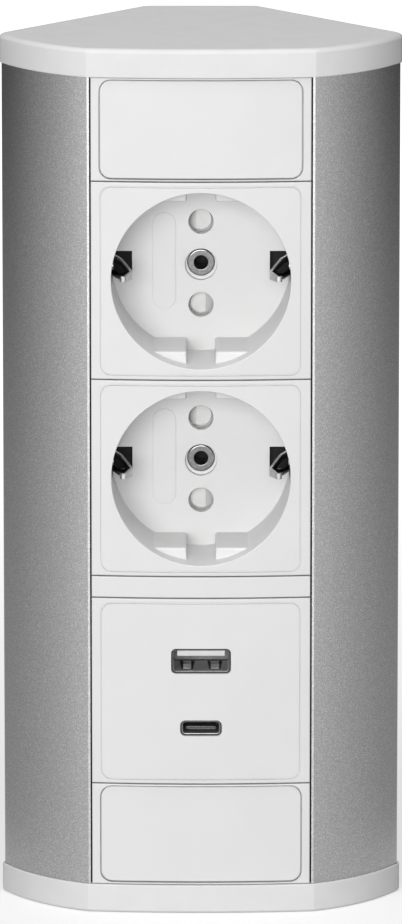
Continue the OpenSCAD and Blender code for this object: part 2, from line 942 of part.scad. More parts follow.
module usb_circuit_board() {
    color("darkgreen")
        seated()
            translate([0, 0, usb_mid_z])
                difference() {
                    along_y(board_front, board_back)
                        square([2 * board_half_w, 2 * board_half_h], center = true);
                    for (side = [-1, 1])
                        translate([side * tail_x, 0, terminal_z_shift])
                            along_y(board_front - over, board_back + over)
                                circle(terminal_r + fit_gap);
                }
}

// Metal shells of the two ports
module port_shell(z, size, r, t) {
    translate([0, 0, z])
        difference() {
            along_y(shell_front, board_front)
                port_rect(size, 0, r);
            along_y(shell_front - over, board_front + over)
                port_rect(size, -t, r);
        }
}

module usb_a_shell() {
    finger_back = finger_front + finger_size.y;
    leaf_half = finger_size.x / 2 - seat_gap;
    wall_z = usb_a_z - usb_a_size.y / 2;
    color("silver")
        seated() {
            difference() {
                port_shell(usb_a_z, usb_a_size, usb_a_corner, usb_a_wall);
                for (side = [-1, 1])
                    translate([side * finger_x - finger_size.x / 2, finger_front, usb_a_z - usb_a_size.y])
                        cube([finger_size.x, finger_size.y, usb_a_size.y]);
            }
            for (side = [-1, 1])
                translate([0, 0, wall_z])
                    along_x(side * finger_x - leaf_half, side * finger_x + leaf_half)
                        polygon([
                            [finger_front + seat_gap, finger_rise], [finger_back, 0],
                            [finger_back + finger_root, 0], [finger_back + finger_root, usb_a_wall],
                            [finger_back, usb_a_wall], [finger_front + seat_gap, finger_rise + usb_a_wall]
                        ]);
        }
}

module usb_c_shell() {
    color("silver")
        seated()
            port_shell(usb_c_z, usb_c_size, usb_c_corner, usb_c_wall);
}

module usb_a_tongue() {
    color("white")
        seated()
            translate([0, 0, usb_a_z + tongue_a_rise])
                along_y(tongue_a_front, board_front)
                    square(tongue_a_size, center = true);
}

module usb_a_contacts() {
    pitch = contact_size.x + contact_gap_w;
    color("gold")
        seated()
            for (i = [0:contact_n - 1])
                translate([(i - (contact_n - 1) / 2) * pitch, 0,
                    usb_a_z + tongue_a_rise - tongue_a_size.y / 2 - contact_size.y / 2])
                    along_y(finger_front, board_front)
                        square(contact_size, center = true);
}

module usb_c_tongue() {
    color("dimgray")
        seated()
            translate([0, 0, usb_c_z])
                along_y(tongue_c_front, board_front)
                    square(tongue_c_size, center = true);
}

// Parts on the board's back
module usb_transformer() {
    color("dimgray")
        seated()
            translate([core_x, board_back, usb_mid_z + core_z_shift]) {
                difference() {
                    translate([-core_size.x / 2, 0, -core_size.z / 2])
                        cube([core_size.x, core_size.y, core_size.z]);
                    translate([-core_hole.x / 2, core_leg, -core_size.z / 2 - over])
                        cube([core_hole.x, core_hole.y, core_size.z + 2 * over]);
                }
                along_y(core_leg / 2, core_size.y - core_leg / 2)
                    circle(winding_r);
            }
}

module usb_capacitor() {
    color("black")
        seated()
            translate([capacitor_x, board_back, usb_mid_z + capacitor_z_shift])
                turned_y([
                    [0, 0], [capacitor_r, 0], [capacitor_r, capacitor_l - 4 * capacitor_bead],
                    [capacitor_r - capacitor_bead, capacitor_l - 3 * capacitor_bead],
                    [capacitor_r, capacitor_l - 2 * capacitor_bead],
                    [capacitor_r - capacitor_bead, capacitor_l], [0, capacitor_l]
                ]);
}

module usb_terminals() {
    color("goldenrod")
        seated()
            for (side = [-1, 1])
                translate([side * tail_x, 0, usb_mid_z + terminal_z_shift])
                    along_y(board_front, solder_d)
                        circle(terminal_r);
}

// Wires that run up behind the sockets
module wire(x, top_z) {
    translate([x, wire_d, post_z])
        cylinder(h = top_z - post_z, r = wire_r);
}

module live_wire() {
    color("saddlebrown")
        seated()
            wire(-tail_x, live_top_z);
}

module neutral_wire() {
    color("royalblue")
        seated()
            wire(tail_x, neutral_top_z);
}

module earth_wire() {
    color("yellowgreen")
        seated()
            wire(0, earth_top_z);
}

// Bracket that ties the earth wire to the extrusion's back wall
module earth_bracket() {
    web_front = wire_d + wire_r + solder_gap;
    wall_d = body_depth - wall - fit_gap;
    color("goldenrod")
        seated()
            translate([0, 0, bracket_z]) {
                translate([-bracket_half_w, wall_d - bracket_t, -bracket_half_h])
                    cube([2 * bracket_half_w, bracket_t, 2 * bracket_half_h]);
                translate([-tail_half_w, web_front, -bracket_t / 2])
                    cube([2 * tail_half_w, wall_d - web_front, bracket_t]);
            }
}

// Bush that lines the cable inlet, flush with the back
module cable_inlet() {
    inner_d = body_depth - wall;
    outer_r = inlet_hole_r + inlet_flange_w;
    collar_r = inlet_hole_r - fit_gap;
    color("dimgray")
        seated()
            translate([0, 0, inlet_z])
                turned_y([
                    [inlet_r, inner_d - inlet_flange_t], [outer_r, inner_d - inlet_flange_t],
                    [outer_r, inner_d], [collar_r, inner_d], [collar_r, body_depth], [inlet_r, body_depth]
                ]);
}

body_profile();
top_cap();
bottom_cap();
blank_frame(top_blank_z);  // top_blank_frame
blank_plate(top_blank_z);  // top_blank_plate
blank_frame(bottom_blank_z);  // bottom_blank_frame
blank_plate(bottom_blank_z);  // bottom_blank_plate
spacer_strip();
socket_cover(upper_axis_z);  // upper_socket_cover
socket_base(upper_axis_z);  // upper_socket_base
rivet(upper_axis_z);  // upper_rivet
pin_contact(upper_axis_z, 1);  // upper_live_contact
pin_contact(upper_axis_z, -1);  // upper_neutral_contact
earth_strap(upper_axis_z);  // upper_earth_strap
earth_clip(upper_axis_z, -1);  // upper_left_earth_clip
earth_clip(upper_axis_z, 1);  // upper_right_earth_clip
shutter(upper_axis_z);  // upper_shutter
shutter_spring(upper_axis_z);  // upper_shutter_spring
socket_cover(lower_axis_z);  // lower_socket_cover
socket_base(lower_axis_z);  // lower_socket_base
rivet(lower_axis_z);  // lower_rivet
pin_contact(lower_axis_z, 1);  // lower_live_contact
pin_contact(lower_axis_z, -1);  // lower_neutral_contact
earth_strap(lower_axis_z);  // lower_earth_strap
earth_clip(lower_axis_z, -1);  // lower_left_earth_clip
earth_clip(lower_axis_z, 1);  // lower_right_earth_clip
shutter(lower_axis_z);  // lower_shutter
shutter_spring(lower_axis_z);  // lower_shutter_spring
usb_cover();
usb_case();
usb_circuit_board();
usb_a_shell();
usb_a_tongue();
usb_a_contacts();
usb_c_shell();
usb_c_tongue();
usb_transformer();
usb_capacitor();
usb_terminals();
live_wire();
neutral_wire();
earth_wire();
earth_bracket();
cable_inlet();
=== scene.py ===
# %% [markdown]
# # A corner power tower, dressed for the studio
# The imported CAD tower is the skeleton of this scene. Each visible solid gets a finer twin with the
# roundings, lips and finishes of the moulded or extruded original, in exactly the same place.
# We load the frame first, because every later piece takes its place from it.

# %% Load the frame
import json
import math
import bmesh
import bpy
from mathutils import Matrix, Vector

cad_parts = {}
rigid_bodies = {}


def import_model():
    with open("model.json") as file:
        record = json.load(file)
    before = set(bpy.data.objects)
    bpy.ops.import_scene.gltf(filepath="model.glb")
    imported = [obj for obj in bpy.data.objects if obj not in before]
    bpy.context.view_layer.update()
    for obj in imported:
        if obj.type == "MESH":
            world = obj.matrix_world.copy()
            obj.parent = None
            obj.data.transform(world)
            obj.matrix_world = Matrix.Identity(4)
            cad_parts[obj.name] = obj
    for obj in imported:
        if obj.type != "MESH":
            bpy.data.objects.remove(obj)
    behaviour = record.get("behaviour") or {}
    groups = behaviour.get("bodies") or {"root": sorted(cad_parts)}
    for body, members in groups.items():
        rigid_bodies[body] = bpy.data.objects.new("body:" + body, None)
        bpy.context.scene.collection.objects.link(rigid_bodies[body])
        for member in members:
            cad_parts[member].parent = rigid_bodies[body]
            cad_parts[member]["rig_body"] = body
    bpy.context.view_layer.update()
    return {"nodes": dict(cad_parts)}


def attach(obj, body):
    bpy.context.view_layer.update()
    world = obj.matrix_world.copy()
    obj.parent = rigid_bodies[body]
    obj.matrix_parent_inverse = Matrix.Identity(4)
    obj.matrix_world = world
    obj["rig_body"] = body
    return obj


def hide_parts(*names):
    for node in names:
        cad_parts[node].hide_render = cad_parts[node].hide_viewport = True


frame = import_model()
nodes = frame["nodes"]

# %% [markdown]
# ## Working in millimetres
# Wiring devices are drawn in millimetres, measured from the crown of the gently round front. It is
# easier to model in the same way and to bring a piece to metres only when it is done. `settle` does
# that, marks creases by their angle, and ties the piece to the body that the CAD node moves with.

# %% From drawing board to scene
MM = 0.001
MID_DEPTH = 26.0


def move(bm, x, y, z):
    """Shifts a whole drawing."""
    bmesh.ops.translate(bm, vec=(x, y, z), verts=bm.verts)


def box_of(thing):
    """Lowest and highest corner of an object's mesh."""
    spots = [v.co for v in thing.data.vertices]
    return [tuple(pick(s[i] for s in spots) for i in range(3)) for pick in (min, max)]


def settle(bm, name, node, slot, coat, crease=32, extras=(), twin=True):
    """Brings a drawing to its place in metres, on the body of a CAD node, mostly as that node's twin."""
    move(bm, 0, -MID_DEPTH, 0)
    bmesh.ops.scale(bm, vec=(MM, MM, MM), verts=bm.verts)
    for edge in bm.edges:
        edge.smooth = len(edge.link_faces) == 2 and edge.calc_face_angle(0) < math.radians(crease)
    for face in bm.faces:
        face.smooth = True
    mesh = bpy.data.meshes.new(name)
    bm.to_mesh(mesh)
    bm.free()
    piece = bpy.data.objects.new(name, mesh)
    bpy.context.scene.collection.objects.link(piece)
    for kind, values in extras:
        step = piece.modifiers.new(kind.lower(), kind)
        for key, value in values.items():
            setattr(step, key, value)
    even = piece.modifiers.new("even shading", "WEIGHTED_NORMAL")
    even.keep_sharp = True
    mesh.materials.append(coat)
    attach(piece, nodes[node]["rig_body"])
    if twin:
        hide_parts(node)
    off = max(abs(a - b) for one, two in zip(box_of(nodes[node]), box_of(piece)) for a, b in zip(one, two))
    print(name, "faces:", len(mesh.polygons), "box differs by mm:", round(off / MM, 2))


print("one drawing unit in metres:", MM)

# %% [markdown]
# ## The camera
# A product photographer steps back and uses a long lens, so that upright lines stay nearly upright.
# The camera stands a good two metres away and looks down at the tower by about thirteen degrees.

# %% Camera
scene = bpy.context.scene
lens = bpy.data.cameras.new("long_lens")
lens.sensor_width = 36
lens.lens = 395.5
lens.clip_start = 0.1
lens.clip_end = 20
camera = bpy.data.objects.new("camera", lens)
camera.location = (0, -2.226, 0.629)
camera.rotation_euler = (math.radians(76.588), 0, 0)
scene.collection.objects.link(camera)
scene.camera = camera
scene.view_settings.view_transform = "Standard"
print("camera at", tuple(camera.location), "lens", lens.lens)

# %% [markdown]
# ## The white tent
# A tent of white cloth round the object is what makes a background white. Here the world takes its
# part. It shows at full white to the camera and in reflections, but lights the object only by a
# fifth of that, or the lamps could no longer shape the tower.

# %% White tent


def reckon(tree, operation, *values):
    """The result of a Math node, whose values are sockets or numbers."""
    node = tree.nodes.new("ShaderNodeMath")
    node.operation = operation
    for entry, value in zip(node.inputs, values):
        if isinstance(value, (int, float)):
            entry.default_value = value
        else:
            tree.links.new(value, entry)
    return node.outputs[0]


def seen_directly(tree):
    """1 for rays that go straight to the eye, or to it by a mirror or through glass."""
    path = tree.nodes.new("ShaderNodeLightPath")
    total = path.outputs["Is Camera Ray"]
    for kind in ("Is Glossy Ray", "Is Transmission Ray"):
        total = reckon(tree, "MAXIMUM", total, path.outputs[kind])
    return total


def ranged(tree, value, low, high, start=0.0, end=1.0):
    """Maps a value that runs from start to end to one that runs from low to high."""
    span = tree.nodes.new("ShaderNodeMapRange")
    span.inputs["From Min"].default_value = start
    span.inputs["From Max"].default_value = end
    span.inputs["To Min"].default_value = low
    span.inputs["To Max"].default_value = high
    tree.links.new(value, span.inputs["Value"])
    return span.outputs["Result"]


TENT_LIGHT = 0.2
tent = bpy.data.worlds.new("white_tent")
scene.world = tent
tent.use_nodes = True
tree = tent.node_tree
sky = tree.nodes["Background"]
sky.inputs["Color"].default_value = (1, 1, 1, 1)
tree.links.new(ranged(tree, seen_directly(tree), TENT_LIGHT, 1.0), sky.inputs["Strength"])
print("tent light:", TENT_LIGHT)

# %% [markdown]
# ## Soft lamps
# Two square soft boxes give the light. The large one stands low in front, a little to the left, and
# lights the faces. The smaller one hangs high above it: it lights the top cap, and the upper rims
# of the recesses cast its soft shade on their floors.

# %% Soft lamps
TOWER_MIDDLE = Vector((0, 0, 0.1))


def soft_lamp(name, azimuth, elevation, distance, size, power):
    """An area lamp that looks at the tower's middle; azimuth 0 is the front, negative the left."""
    light = bpy.data.lights.new(name, "AREA")
    light.shape = "SQUARE"
    light.size = size
    light.energy = power
    lamp = bpy.data.objects.new(name, light)
    turn, rise = math.radians(azimuth), math.radians(elevation)
    away = Vector((math.sin(turn) * math.cos(rise), -math.cos(turn) * math.cos(rise), math.sin(rise)))
    lamp.location = TOWER_MIDDLE + away * distance
    lamp.rotation_euler = away.to_track_quat("Z", "Y").to_euler()
    lamp.visible_camera = False
    scene.collection.objects.link(lamp)
    return lamp


key = soft_lamp("key_lamp", azimuth=-8, elevation=11, distance=2.5, size=1.3, power=50)
overhead = soft_lamp("overhead_lamp", azimuth=-10, elevation=73, distance=1.5, size=0.9, power=9.9)
for lamp in (key, overhead):
    print(lamp.name, "at", tuple(round(c, 2) for c in lamp.location))

# %% [markdown]
# ## The paper floor
# The floor is a wide disc of paper. Part of its brightness is its own, more of it away from the
# foot, so that the camera sees it white while the tower's soft shadow stays on it. Near the foot the
# weaker glow is painted shade, which darkens the paper round the foot beyond its real shadow.

# %% Paper floor


def place_on(tree):
    """Where the shaded point lies on its own piece."""
    return tree.nodes.new("ShaderNodeTexCoord").outputs["Object"]


def stage_mesh(name, bm, material):
    """A drawing in metres as a part of the studio."""
    mesh = bpy.data.meshes.new(name)
    bm.to_mesh(mesh)
    bm.free()
    mesh.materials.append(material)
    thing = bpy.data.objects.new(name, mesh)
    scene.collection.objects.link(thing)
    return thing


FLOOR_R = 3.0
paper = bpy.data.materials.new("paper")
paper.use_nodes = True
tree = paper.node_tree
matt = tree.nodes["Principled BSDF"]
matt.inputs["Base Color"].default_value = (0.44, 0.44, 0.44, 1)
matt.inputs["Roughness"].default_value = 0.9
matt.inputs["Specular IOR Level"].default_value = 0.0
matt.inputs["Emission Color"].default_value = (1, 1, 1, 1)
reach = tree.nodes.new("ShaderNodeVectorMath")
reach.operation = "LENGTH"
tree.links.new(place_on(tree), reach.inputs[0])
# painted shade: the paper's own glow is weakest near the foot, which darkens the paper there
glow_with_foot_shade = ranged(tree, reach.outputs["Value"], low=0.59, high=1.0, start=0.1, end=0.6)
tree.links.new(reckon(tree, "MULTIPLY", glow_with_foot_shade, seen_directly(tree)), matt.inputs["Emission Strength"])

bm = bmesh.new()
bmesh.ops.create_circle(bm, cap_ends=True, radius=FLOOR_R, segments=96)
floor = stage_mesh("floor", bm, paper)
print("floor radius in m:", FLOOR_R)

# %% [markdown]
# ## Black nets
# Satin metal needs something dark to reflect, or the aluminium would look like the white plastic.
# So two black nets stand close beside the tower, just out of the camera's sight. Each net gets
# denser to the back and to the top, so the reflection in the round sides fades as softly as they
# turn. A board would be simpler, but would leave a hard edge in the metal.

# %% Black nets
NET_X = 0.085
NET_FRONT = -0.09
NET_LENGTH = 0.4
NET_HEIGHT = 0.3


def axes_of(tree):
    """The shaded point's X, Y and Z on its own piece, in metres."""
    split = tree.nodes.new("ShaderNodeSeparateXYZ")
    tree.links.new(place_on(tree), split.inputs["Vector"])
    return split.outputs


net = bpy.data.materials.new("black_net")
net.use_nodes = True
tree = net.node_tree
thread = tree.nodes["Principled BSDF"]
thread.inputs["Base Color"].default_value = (0.03, 0.03, 0.03, 1)
thread.inputs["Roughness"].default_value = 1.0
axes = axes_of(tree)
to_back = ranged(tree, axes["Y"], low=0.0, high=1.0, start=NET_FRONT, end=0.005)
to_top = ranged(tree, axes["Z"], low=0.4, high=0.96, start=0.0, end=0.2)
tree.links.new(reckon(tree, "MULTIPLY", to_back, to_top), thread.inputs["Alpha"])

upright = Matrix.Rotation(math.radians(90), 4, "Z") @ Matrix.Rotation(math.radians(90), 4, "X")
for word, side in (("left", -1), ("right", 1)):
    bm = bmesh.new()
    bmesh.ops.create_grid(bm, x_segments=1, y_segments=1, size=0.5)
    move(bm, 0.5, 0.5, 0)
    bmesh.ops.scale(bm, vec=(NET_LENGTH, NET_HEIGHT, 1), verts=bm.verts)
    place = Matrix.Translation((side * NET_X, NET_FRONT, 0))
    bmesh.ops.transform(bm, matrix=place @ upright, verts=bm.verts)
    board = stage_mesh(f"net_{word}", bm, net)
    board.visible_camera = False
print("nets at x:", -NET_X, NET_X)

# %% [markdown]
# ## Finishes
# Every finish is made of shader nodes on Object coordinates, so that it stays fixed to its piece.
# `finish` makes the base, `mottle` varies the colour a little, `uneven` varies the gloss, and
# `relief` gives a fine texture such as spark erosion or bead blasting, at its real size. `overlay`
# and `zone` change the tone of a part of a piece.

# %% Shader helpers


def grey(value):
    """A neutral tone."""
    return (value, value, value)


def finish(name, colour, roughness, metallic=0.0, specular=0.5):
    """A new material with one Principled shader."""
    material = bpy.data.materials.new(name)
    material.use_nodes = True
    shader = material.node_tree.nodes["Principled BSDF"]
    shader.inputs["Base Color"].default_value = (*colour, 1)
    shader.inputs["Roughness"].default_value = roughness
    shader.inputs["Metallic"].default_value = metallic
    shader.inputs["Specular IOR Level"].default_value = specular
    return material


def noise(material, size_mm, detail=2.0, stretch=(1, 1, 1)):
    """Noise whose grains are about size_mm across, stretched along an axis by a share below 1."""
    tree = material.node_tree
    fitted = tree.nodes.new("ShaderNodeMapping")
    fitted.inputs["Scale"].default_value = stretch
    tree.links.new(place_on(tree), fitted.inputs["Vector"])
    grains = tree.nodes.new("ShaderNodeTexNoise")
    grains.inputs["Scale"].default_value = 1 / (size_mm * MM)
    grains.inputs["Detail"].default_value = detail
    tree.links.new(fitted.outputs["Vector"], grains.inputs["Vector"])
    return grains.outputs["Fac"]


def mottle(material, low, high, size_mm, stretch=(1, 1, 1), start=0.35, end=0.65):
    """Varies the colour between two tones."""
    tree = material.node_tree
    blend = tree.nodes.new("ShaderNodeMix")
    blend.data_type = "RGBA"
    blend.inputs["A"].default_value = (*low, 1)
    blend.inputs["B"].default_value = (*high, 1)
    amount = ranged(tree, noise(material, size_mm, 3.0, stretch), 0.0, 1.0, start, end)
    tree.links.new(amount, blend.inputs["Factor"])
    tree.links.new(blend.outputs["Result"], tree.nodes["Principled BSDF"].inputs["Base Color"])


def uneven(material, low, high, size_mm, stretch=(1, 1, 1)):
    """Varies the roughness between two values."""
    tree = material.node_tree
    amount = ranged(tree, noise(material, size_mm, 2.0, stretch), low, high, 0.3, 0.7)
    tree.links.new(amount, tree.nodes["Principled BSDF"].inputs["Roughness"])


def relief(material, size_mm, height_mm, strength=0.5, stretch=(1, 1, 1)):
    """Gives the surface a fine bumpy texture."""
    tree = material.node_tree
    bump = tree.nodes.new("ShaderNodeBump")
    bump.inputs["Strength"].default_value = strength
    bump.inputs["Distance"].default_value = height_mm * MM
    tree.links.new(noise(material, size_mm, 2.0, stretch), bump.inputs["Height"])
    tree.links.new(bump.outputs["Normal"], tree.nodes["Principled BSDF"].inputs["Normal"])


def overlay(material, tone, amount):
    """Lays another tone over a finish, by an amount from 0 to 1."""
    tree = material.node_tree
    film = tree.nodes.new("ShaderNodeMix")
    film.data_type = "RGBA"
    colour = tree.nodes["Principled BSDF"].inputs["Base Color"]
    tree.links.new(colour.links[0].from_socket, film.inputs["A"])
    film.inputs["B"].default_value = (*tone, 1)
    tree.links.new(amount, film.inputs["Factor"])
    tree.links.new(film.outputs["Result"], colour)


def zone(material, tone, test="LESS_THAN", **limits):
    """Another tone where Y, and X counted from the middle, pass a test against limits in millimetres."""
    tree = material.node_tree
    axes = axes_of(tree)
    inside = 1.0
    for axis, limit in limits.items():
        value = reckon(tree, "ABSOLUTE", axes[axis]) if axis == "X" else axes[axis]
        inside = reckon(tree, "MULTIPLY", inside, reckon(tree, test, value, limit * MM))
    overlay(material, tone, inside)


print("shader helpers: 8")

# %% [markdown]
# The covers are smooth semi-gloss thermoplastic. The caps are the same white with a fine eroded
# skin. The aluminium is bead blasted and anodised, so it is satin with a metallic speckle of a
# fraction of a millimetre.

# %% Outer finishes
cover_white = finish("cover_white", grey(0.70), 0.38, specular=0.4)
mottle(cover_white, (0.693, 0.693, 0.691), (0.707, 0.707, 0.705), 14)
uneven(cover_white, 0.34, 0.42, 3)
relief(cover_white, 0.5, 0.004, 0.25)

cap_white = finish("cap_white", grey(0.70), 0.5, specular=0.4)
mottle(cap_white, (0.687, 0.687, 0.685), (0.709, 0.709, 0.707), 6)
uneven(cap_white, 0.46, 0.56, 1.2)
relief(cap_white, 0.28, 0.012, 0.5)

satin_aluminium = finish("satin_aluminium", grey(0.42), 0.38, metallic=1.0)
mottle(satin_aluminium, grey(0.33), grey(0.54), 0.24, start=0.46, end=0.72)
uneven(satin_aluminium, 0.32, 0.44, 0.4)
relief(satin_aluminium, 0.24, 0.03, 0.6)
print("outer finishes: 3")

# %% [markdown]
# The rails behind the modules get painted shade, near black, so that the narrow, deep gap on both sides of
# the modules reads as a black line, as a gap in shade does. The front is at negative Y.

# %% Painted shade on the rails
RAIL_SHADE_HALF = 24.8
RAIL_SHADE_BACK = -18
# painted shade: the rails' front, seen through the gaps beside the modules, turns almost black
zone(satin_aluminium, grey(0.02), X=RAIL_SHADE_HALF, Y=RAIL_SHADE_BACK)
print("rails are dark to both sides as far as mm:", RAIL_SHADE_HALF)

# %% [markdown]
# Inside there are matt dark bases, nickel on the spring clips and rivets, brass contacts, drawn
# spring wire, the charger's board and parts, and wires with coloured insulation. The ports' shells
# get painted shade: near black at their cut edge in front, for the shade of the gap round them, and
# at the rear, for the shade deep inside a port.

# %% Inner finishes
SHADED_PORT_RIM = -25.38
SHADED_PORT_REAR = -16.0

base_black = finish("base_black", grey(0.015), 0.6, specular=0.15)
mottle(base_black, grey(0.012), grey(0.019), 3)
relief(base_black, 0.4, 0.015, 0.4)

shutter_white = finish("shutter_white", grey(0.66), 0.45)
mottle(shutter_white, (0.64, 0.64, 0.635), (0.68, 0.68, 0.675), 2)
relief(shutter_white, 0.3, 0.008, 0.35)

nickel = finish("nickel", grey(0.46), 0.16, metallic=1.0)
mottle(nickel, (0.41, 0.41, 0.405), (0.53, 0.53, 0.525), 0.8)
uneven(nickel, 0.1, 0.24, 0.6)
relief(nickel, 0.4, 0.004, 0.3)

rivet_nickel = finish("rivet_nickel", grey(0.21), 0.12, metallic=1.0)
mottle(rivet_nickel, grey(0.18), grey(0.24), 0.7)
uneven(rivet_nickel, 0.1, 0.16, 0.5)

port_steel = finish("port_steel", grey(0.6), 0.42, metallic=1.0)
mottle(port_steel, grey(0.56), grey(0.64), 0.6)
uneven(port_steel, 0.40, 0.46, 0.4)
# painted shade: the shells' cut edge in front and their rear turn near black
zone(port_steel, grey(0.04), Y=SHADED_PORT_RIM)
zone(port_steel, grey(0.05), "GREATER_THAN", Y=SHADED_PORT_REAR)

# painted shade: the insulator is white plastic like the tongue; this dark grey stands in for its shade deep
# in the port
shaded_insulator = finish("shaded_insulator", grey(0.25), 0.5)
mottle(shaded_insulator, grey(0.22), grey(0.28), 1.0)

brass = finish("brass", (0.70, 0.50, 0.20), 0.3, metallic=1.0)
mottle(brass, (0.62, 0.44, 0.17), (0.76, 0.56, 0.25), 1.5)
uneven(brass, 0.22, 0.4, 0.8, (1, 0.2, 1))

spring_wire = finish("spring_wire", grey(0.42), 0.3, metallic=1.0)
mottle(spring_wire, grey(0.36), grey(0.5), 0.5)
uneven(spring_wire, 0.22, 0.4, 0.3)

solder_mask = finish("solder_mask", (0.02, 0.16, 0.06), 0.35)
mottle(solder_mask, (0.015, 0.13, 0.05), (0.03, 0.22, 0.09), 0.9, (1, 1, 0.15), 0.48, 0.54)
relief(solder_mask, 0.9, 0.03, 0.6, (1, 1, 0.15))

dark_moulding = finish("dark_moulding", grey(0.03), 0.5)
mottle(dark_moulding, grey(0.022), grey(0.04), 1.0)
relief(dark_moulding, 0.3, 0.008, 0.4)

ferrite = finish("ferrite", (0.05, 0.05, 0.052), 0.7)
mottle(ferrite, (0.035, 0.035, 0.037), (0.09, 0.09, 0.09), 0.35)
relief(ferrite, 0.25, 0.03, 0.6)

inlet_rubber = finish("inlet_rubber", grey(0.035), 0.65)
mottle(inlet_rubber, grey(0.028), grey(0.045), 0.8)
relief(inlet_rubber, 0.35, 0.012, 0.5)


def insulation(name, colour):
    """Soft wire insulation with a dull, slightly uneven skin."""
    material = finish(name, colour, 0.5)
    mottle(material, tuple(c * 0.88 for c in colour), tuple(min(1, c * 1.1) for c in colour), 1.2)
    relief(material, 0.5, 0.01, 0.4, (1, 1, 0.2))
    return material


live_brown = insulation("live_brown", (0.16, 0.06, 0.025))
neutral_blue = insulation("neutral_blue", (0.03, 0.09, 0.42))
earth_green = insulation("earth_green", (0.10, 0.33, 0.04))
print("inner finishes: 15")

# %% [markdown]
# The earth wire is green with a yellow stripe. The stripe depends on the direction round the wire,
# so a comparison with X is enough: the yellow takes a narrow band along the wire's middle.

# %% Yellow stripe on the earth wire
STRIPE_HALF = 0.45
tree = earth_green.node_tree
overlay(earth_green, (0.75, 0.55, 0.03), reckon(tree, "COMPARE", axes_of(tree)["X"], 0.0, STRIPE_HALF * MM))
print("stripe width in mm:", 2 * STRIPE_HALF)

# %% [markdown]
# ## Modelling helpers
# A moulded part is mostly slabs, turned forms and straight walls, joined and then cut by tools with
# the same forms. `slab` is a rounded rectangle that faces the front, `turned` spins a profile of
# radius and depth, and `combined` joins and cuts them with exact Booleans. Cutters reach a little
# beyond what they cut, because a Boolean can go wrong where two faces lie in one plane.

# %% Slabs and turned forms
NEAR = 1e-5
FACE_ON = Matrix.Rotation(math.radians(90), 3, "X")


def points_of(geom):
    """The vertices among an operator's results."""
    return [v for v in geom if isinstance(v, bmesh.types.BMVert)]


def rounded(bm, geom, r, steps, affect="EDGES", clamp=False):
    """Rounds edges, or the corners of a flat outline."""
    bmesh.ops.bevel(bm, geom=geom, offset=r, offset_type="OFFSET", segments=steps, profile=0.5,
                    affect=affect, clamp_overlap=clamp, material=-1)


def pulled(bm, vec):
    """Makes a flat outline solid by a pull along vec."""
    new = bmesh.ops.extrude_face_region(bm, geom=bm.faces[:])["geom"]
    bmesh.ops.translate(bm, vec=vec, verts=points_of(new))
    bmesh.ops.recalc_face_normals(bm, faces=bm.faces)


def slab(w, h, front, back, x=0.0, z=0.0, round_r=0.0, edge=0.0, edge_steps=3, round_steps=8):
    """A rounded rectangle from one depth to another, with its front edges rounded by edge."""
    bm = bmesh.new()
    bmesh.ops.create_grid(bm, x_segments=1, y_segments=1, size=0.5)
    bmesh.ops.scale(bm, vec=(w, h, 1), verts=bm.verts)
    if round_r:
        rounded(bm, bm.verts[:], round_r, round_steps, "VERTICES")
    bmesh.ops.rotate(bm, cent=(0, 0, 0), matrix=FACE_ON, verts=bm.verts)
    move(bm, x, front, z)
    pulled(bm, (0, back - front, 0))
    if edge:
        rim = [e for e in bm.edges if all(abs(v.co.y - front) < NEAR for v in e.verts)]
        rounded(bm, rim, edge, edge_steps)
    return bm


def turned(profile, z, steps):
    """Spins a closed profile of (radius, depth) about the depth axis at height z."""
    bm = bmesh.new()
    points = [bm.verts.new((r, d, 0)) for r, d in profile]
    for i, point in enumerate(points):
        follow = points[(i + 1) % len(points)]
        if max(point.co.x, follow.co.x) > 1e-6:
            bm.edges.new((point, follow))
    bmesh.ops.spin(bm, geom=bm.verts[:] + bm.edges[:], cent=(0, 0, 0), axis=(0, 1, 0),
                   angle=math.tau, steps=steps, use_merge=True)
    bmesh.ops.remove_doubles(bm, verts=bm.verts, dist=NEAR)
    bmesh.ops.recalc_face_normals(bm, faces=bm.faces)
    move(bm, 0, 0, z)
    return bm


def fillet(centre, r, start, end, steps):
    """Points of a small rounding in a profile, by angle."""
    turns = [math.radians(start + (end - start) * i / steps) for i in range(steps + 1)]
    return [(centre[0] + r * math.cos(turn), centre[1] + r * math.sin(turn)) for turn in turns]


print("points on a quarter fillet of 4 steps:", len(fillet((0, 0), 1, 0, 90, 4)))

# %% [markdown]
# A Boolean in Blender is a modifier, so each drawing becomes a short-lived object. Afterwards
# doubled points and edges without length are cleared away.

# %% Joining and cutting
WELD = 1e-4


def rough(bm):
    """A temporary object for a Boolean."""
    mesh = bpy.data.meshes.new("rough")
    bm.to_mesh(mesh)
    bm.free()
    part = bpy.data.objects.new("rough", mesh)
    scene.collection.objects.link(part)
    return part


def combined(start, *steps):
    """Joins and cuts: each step is a Boolean's name and another drawing, or "SOLIDIFY" and a thickness."""
    base = rough(start)
    tools = []
    for kind, other in steps:
        if kind == "SOLIDIFY":
            sheet = base.modifiers.new(kind, kind)
            sheet.thickness = other
            sheet.offset = 0.0
            sheet.use_even_offset = True
            continue
        tool = rough(other)
        step = base.modifiers.new(kind, "BOOLEAN")
        step.operation = kind
        step.solver = "EXACT"
        step.object = tool
        tools.append(tool)
    bpy.context.view_layer.update()
    done = base.evaluated_get(bpy.context.evaluated_depsgraph_get())
    bm = bmesh.new()
    bm.from_mesh(done.data)
    for part in [base, *tools]:
        bpy.data.objects.remove(part)
    bmesh.ops.remove_doubles(bm, verts=bm.verts, dist=WELD)
    bmesh.ops.dissolve_degenerate(bm, edges=bm.edges, dist=WELD)
    return bm


def together(*drawings):
    """One drawing that holds several that don't touch."""
    bm = bmesh.new()
    for other in drawings:
        mesh = bpy.data.meshes.new("rough")
        other.to_mesh(mesh)
        other.free()
        bm.from_mesh(mesh)
        bpy.data.meshes.remove(mesh)
    return bm


print("points closer than this many mm are welded:", WELD)

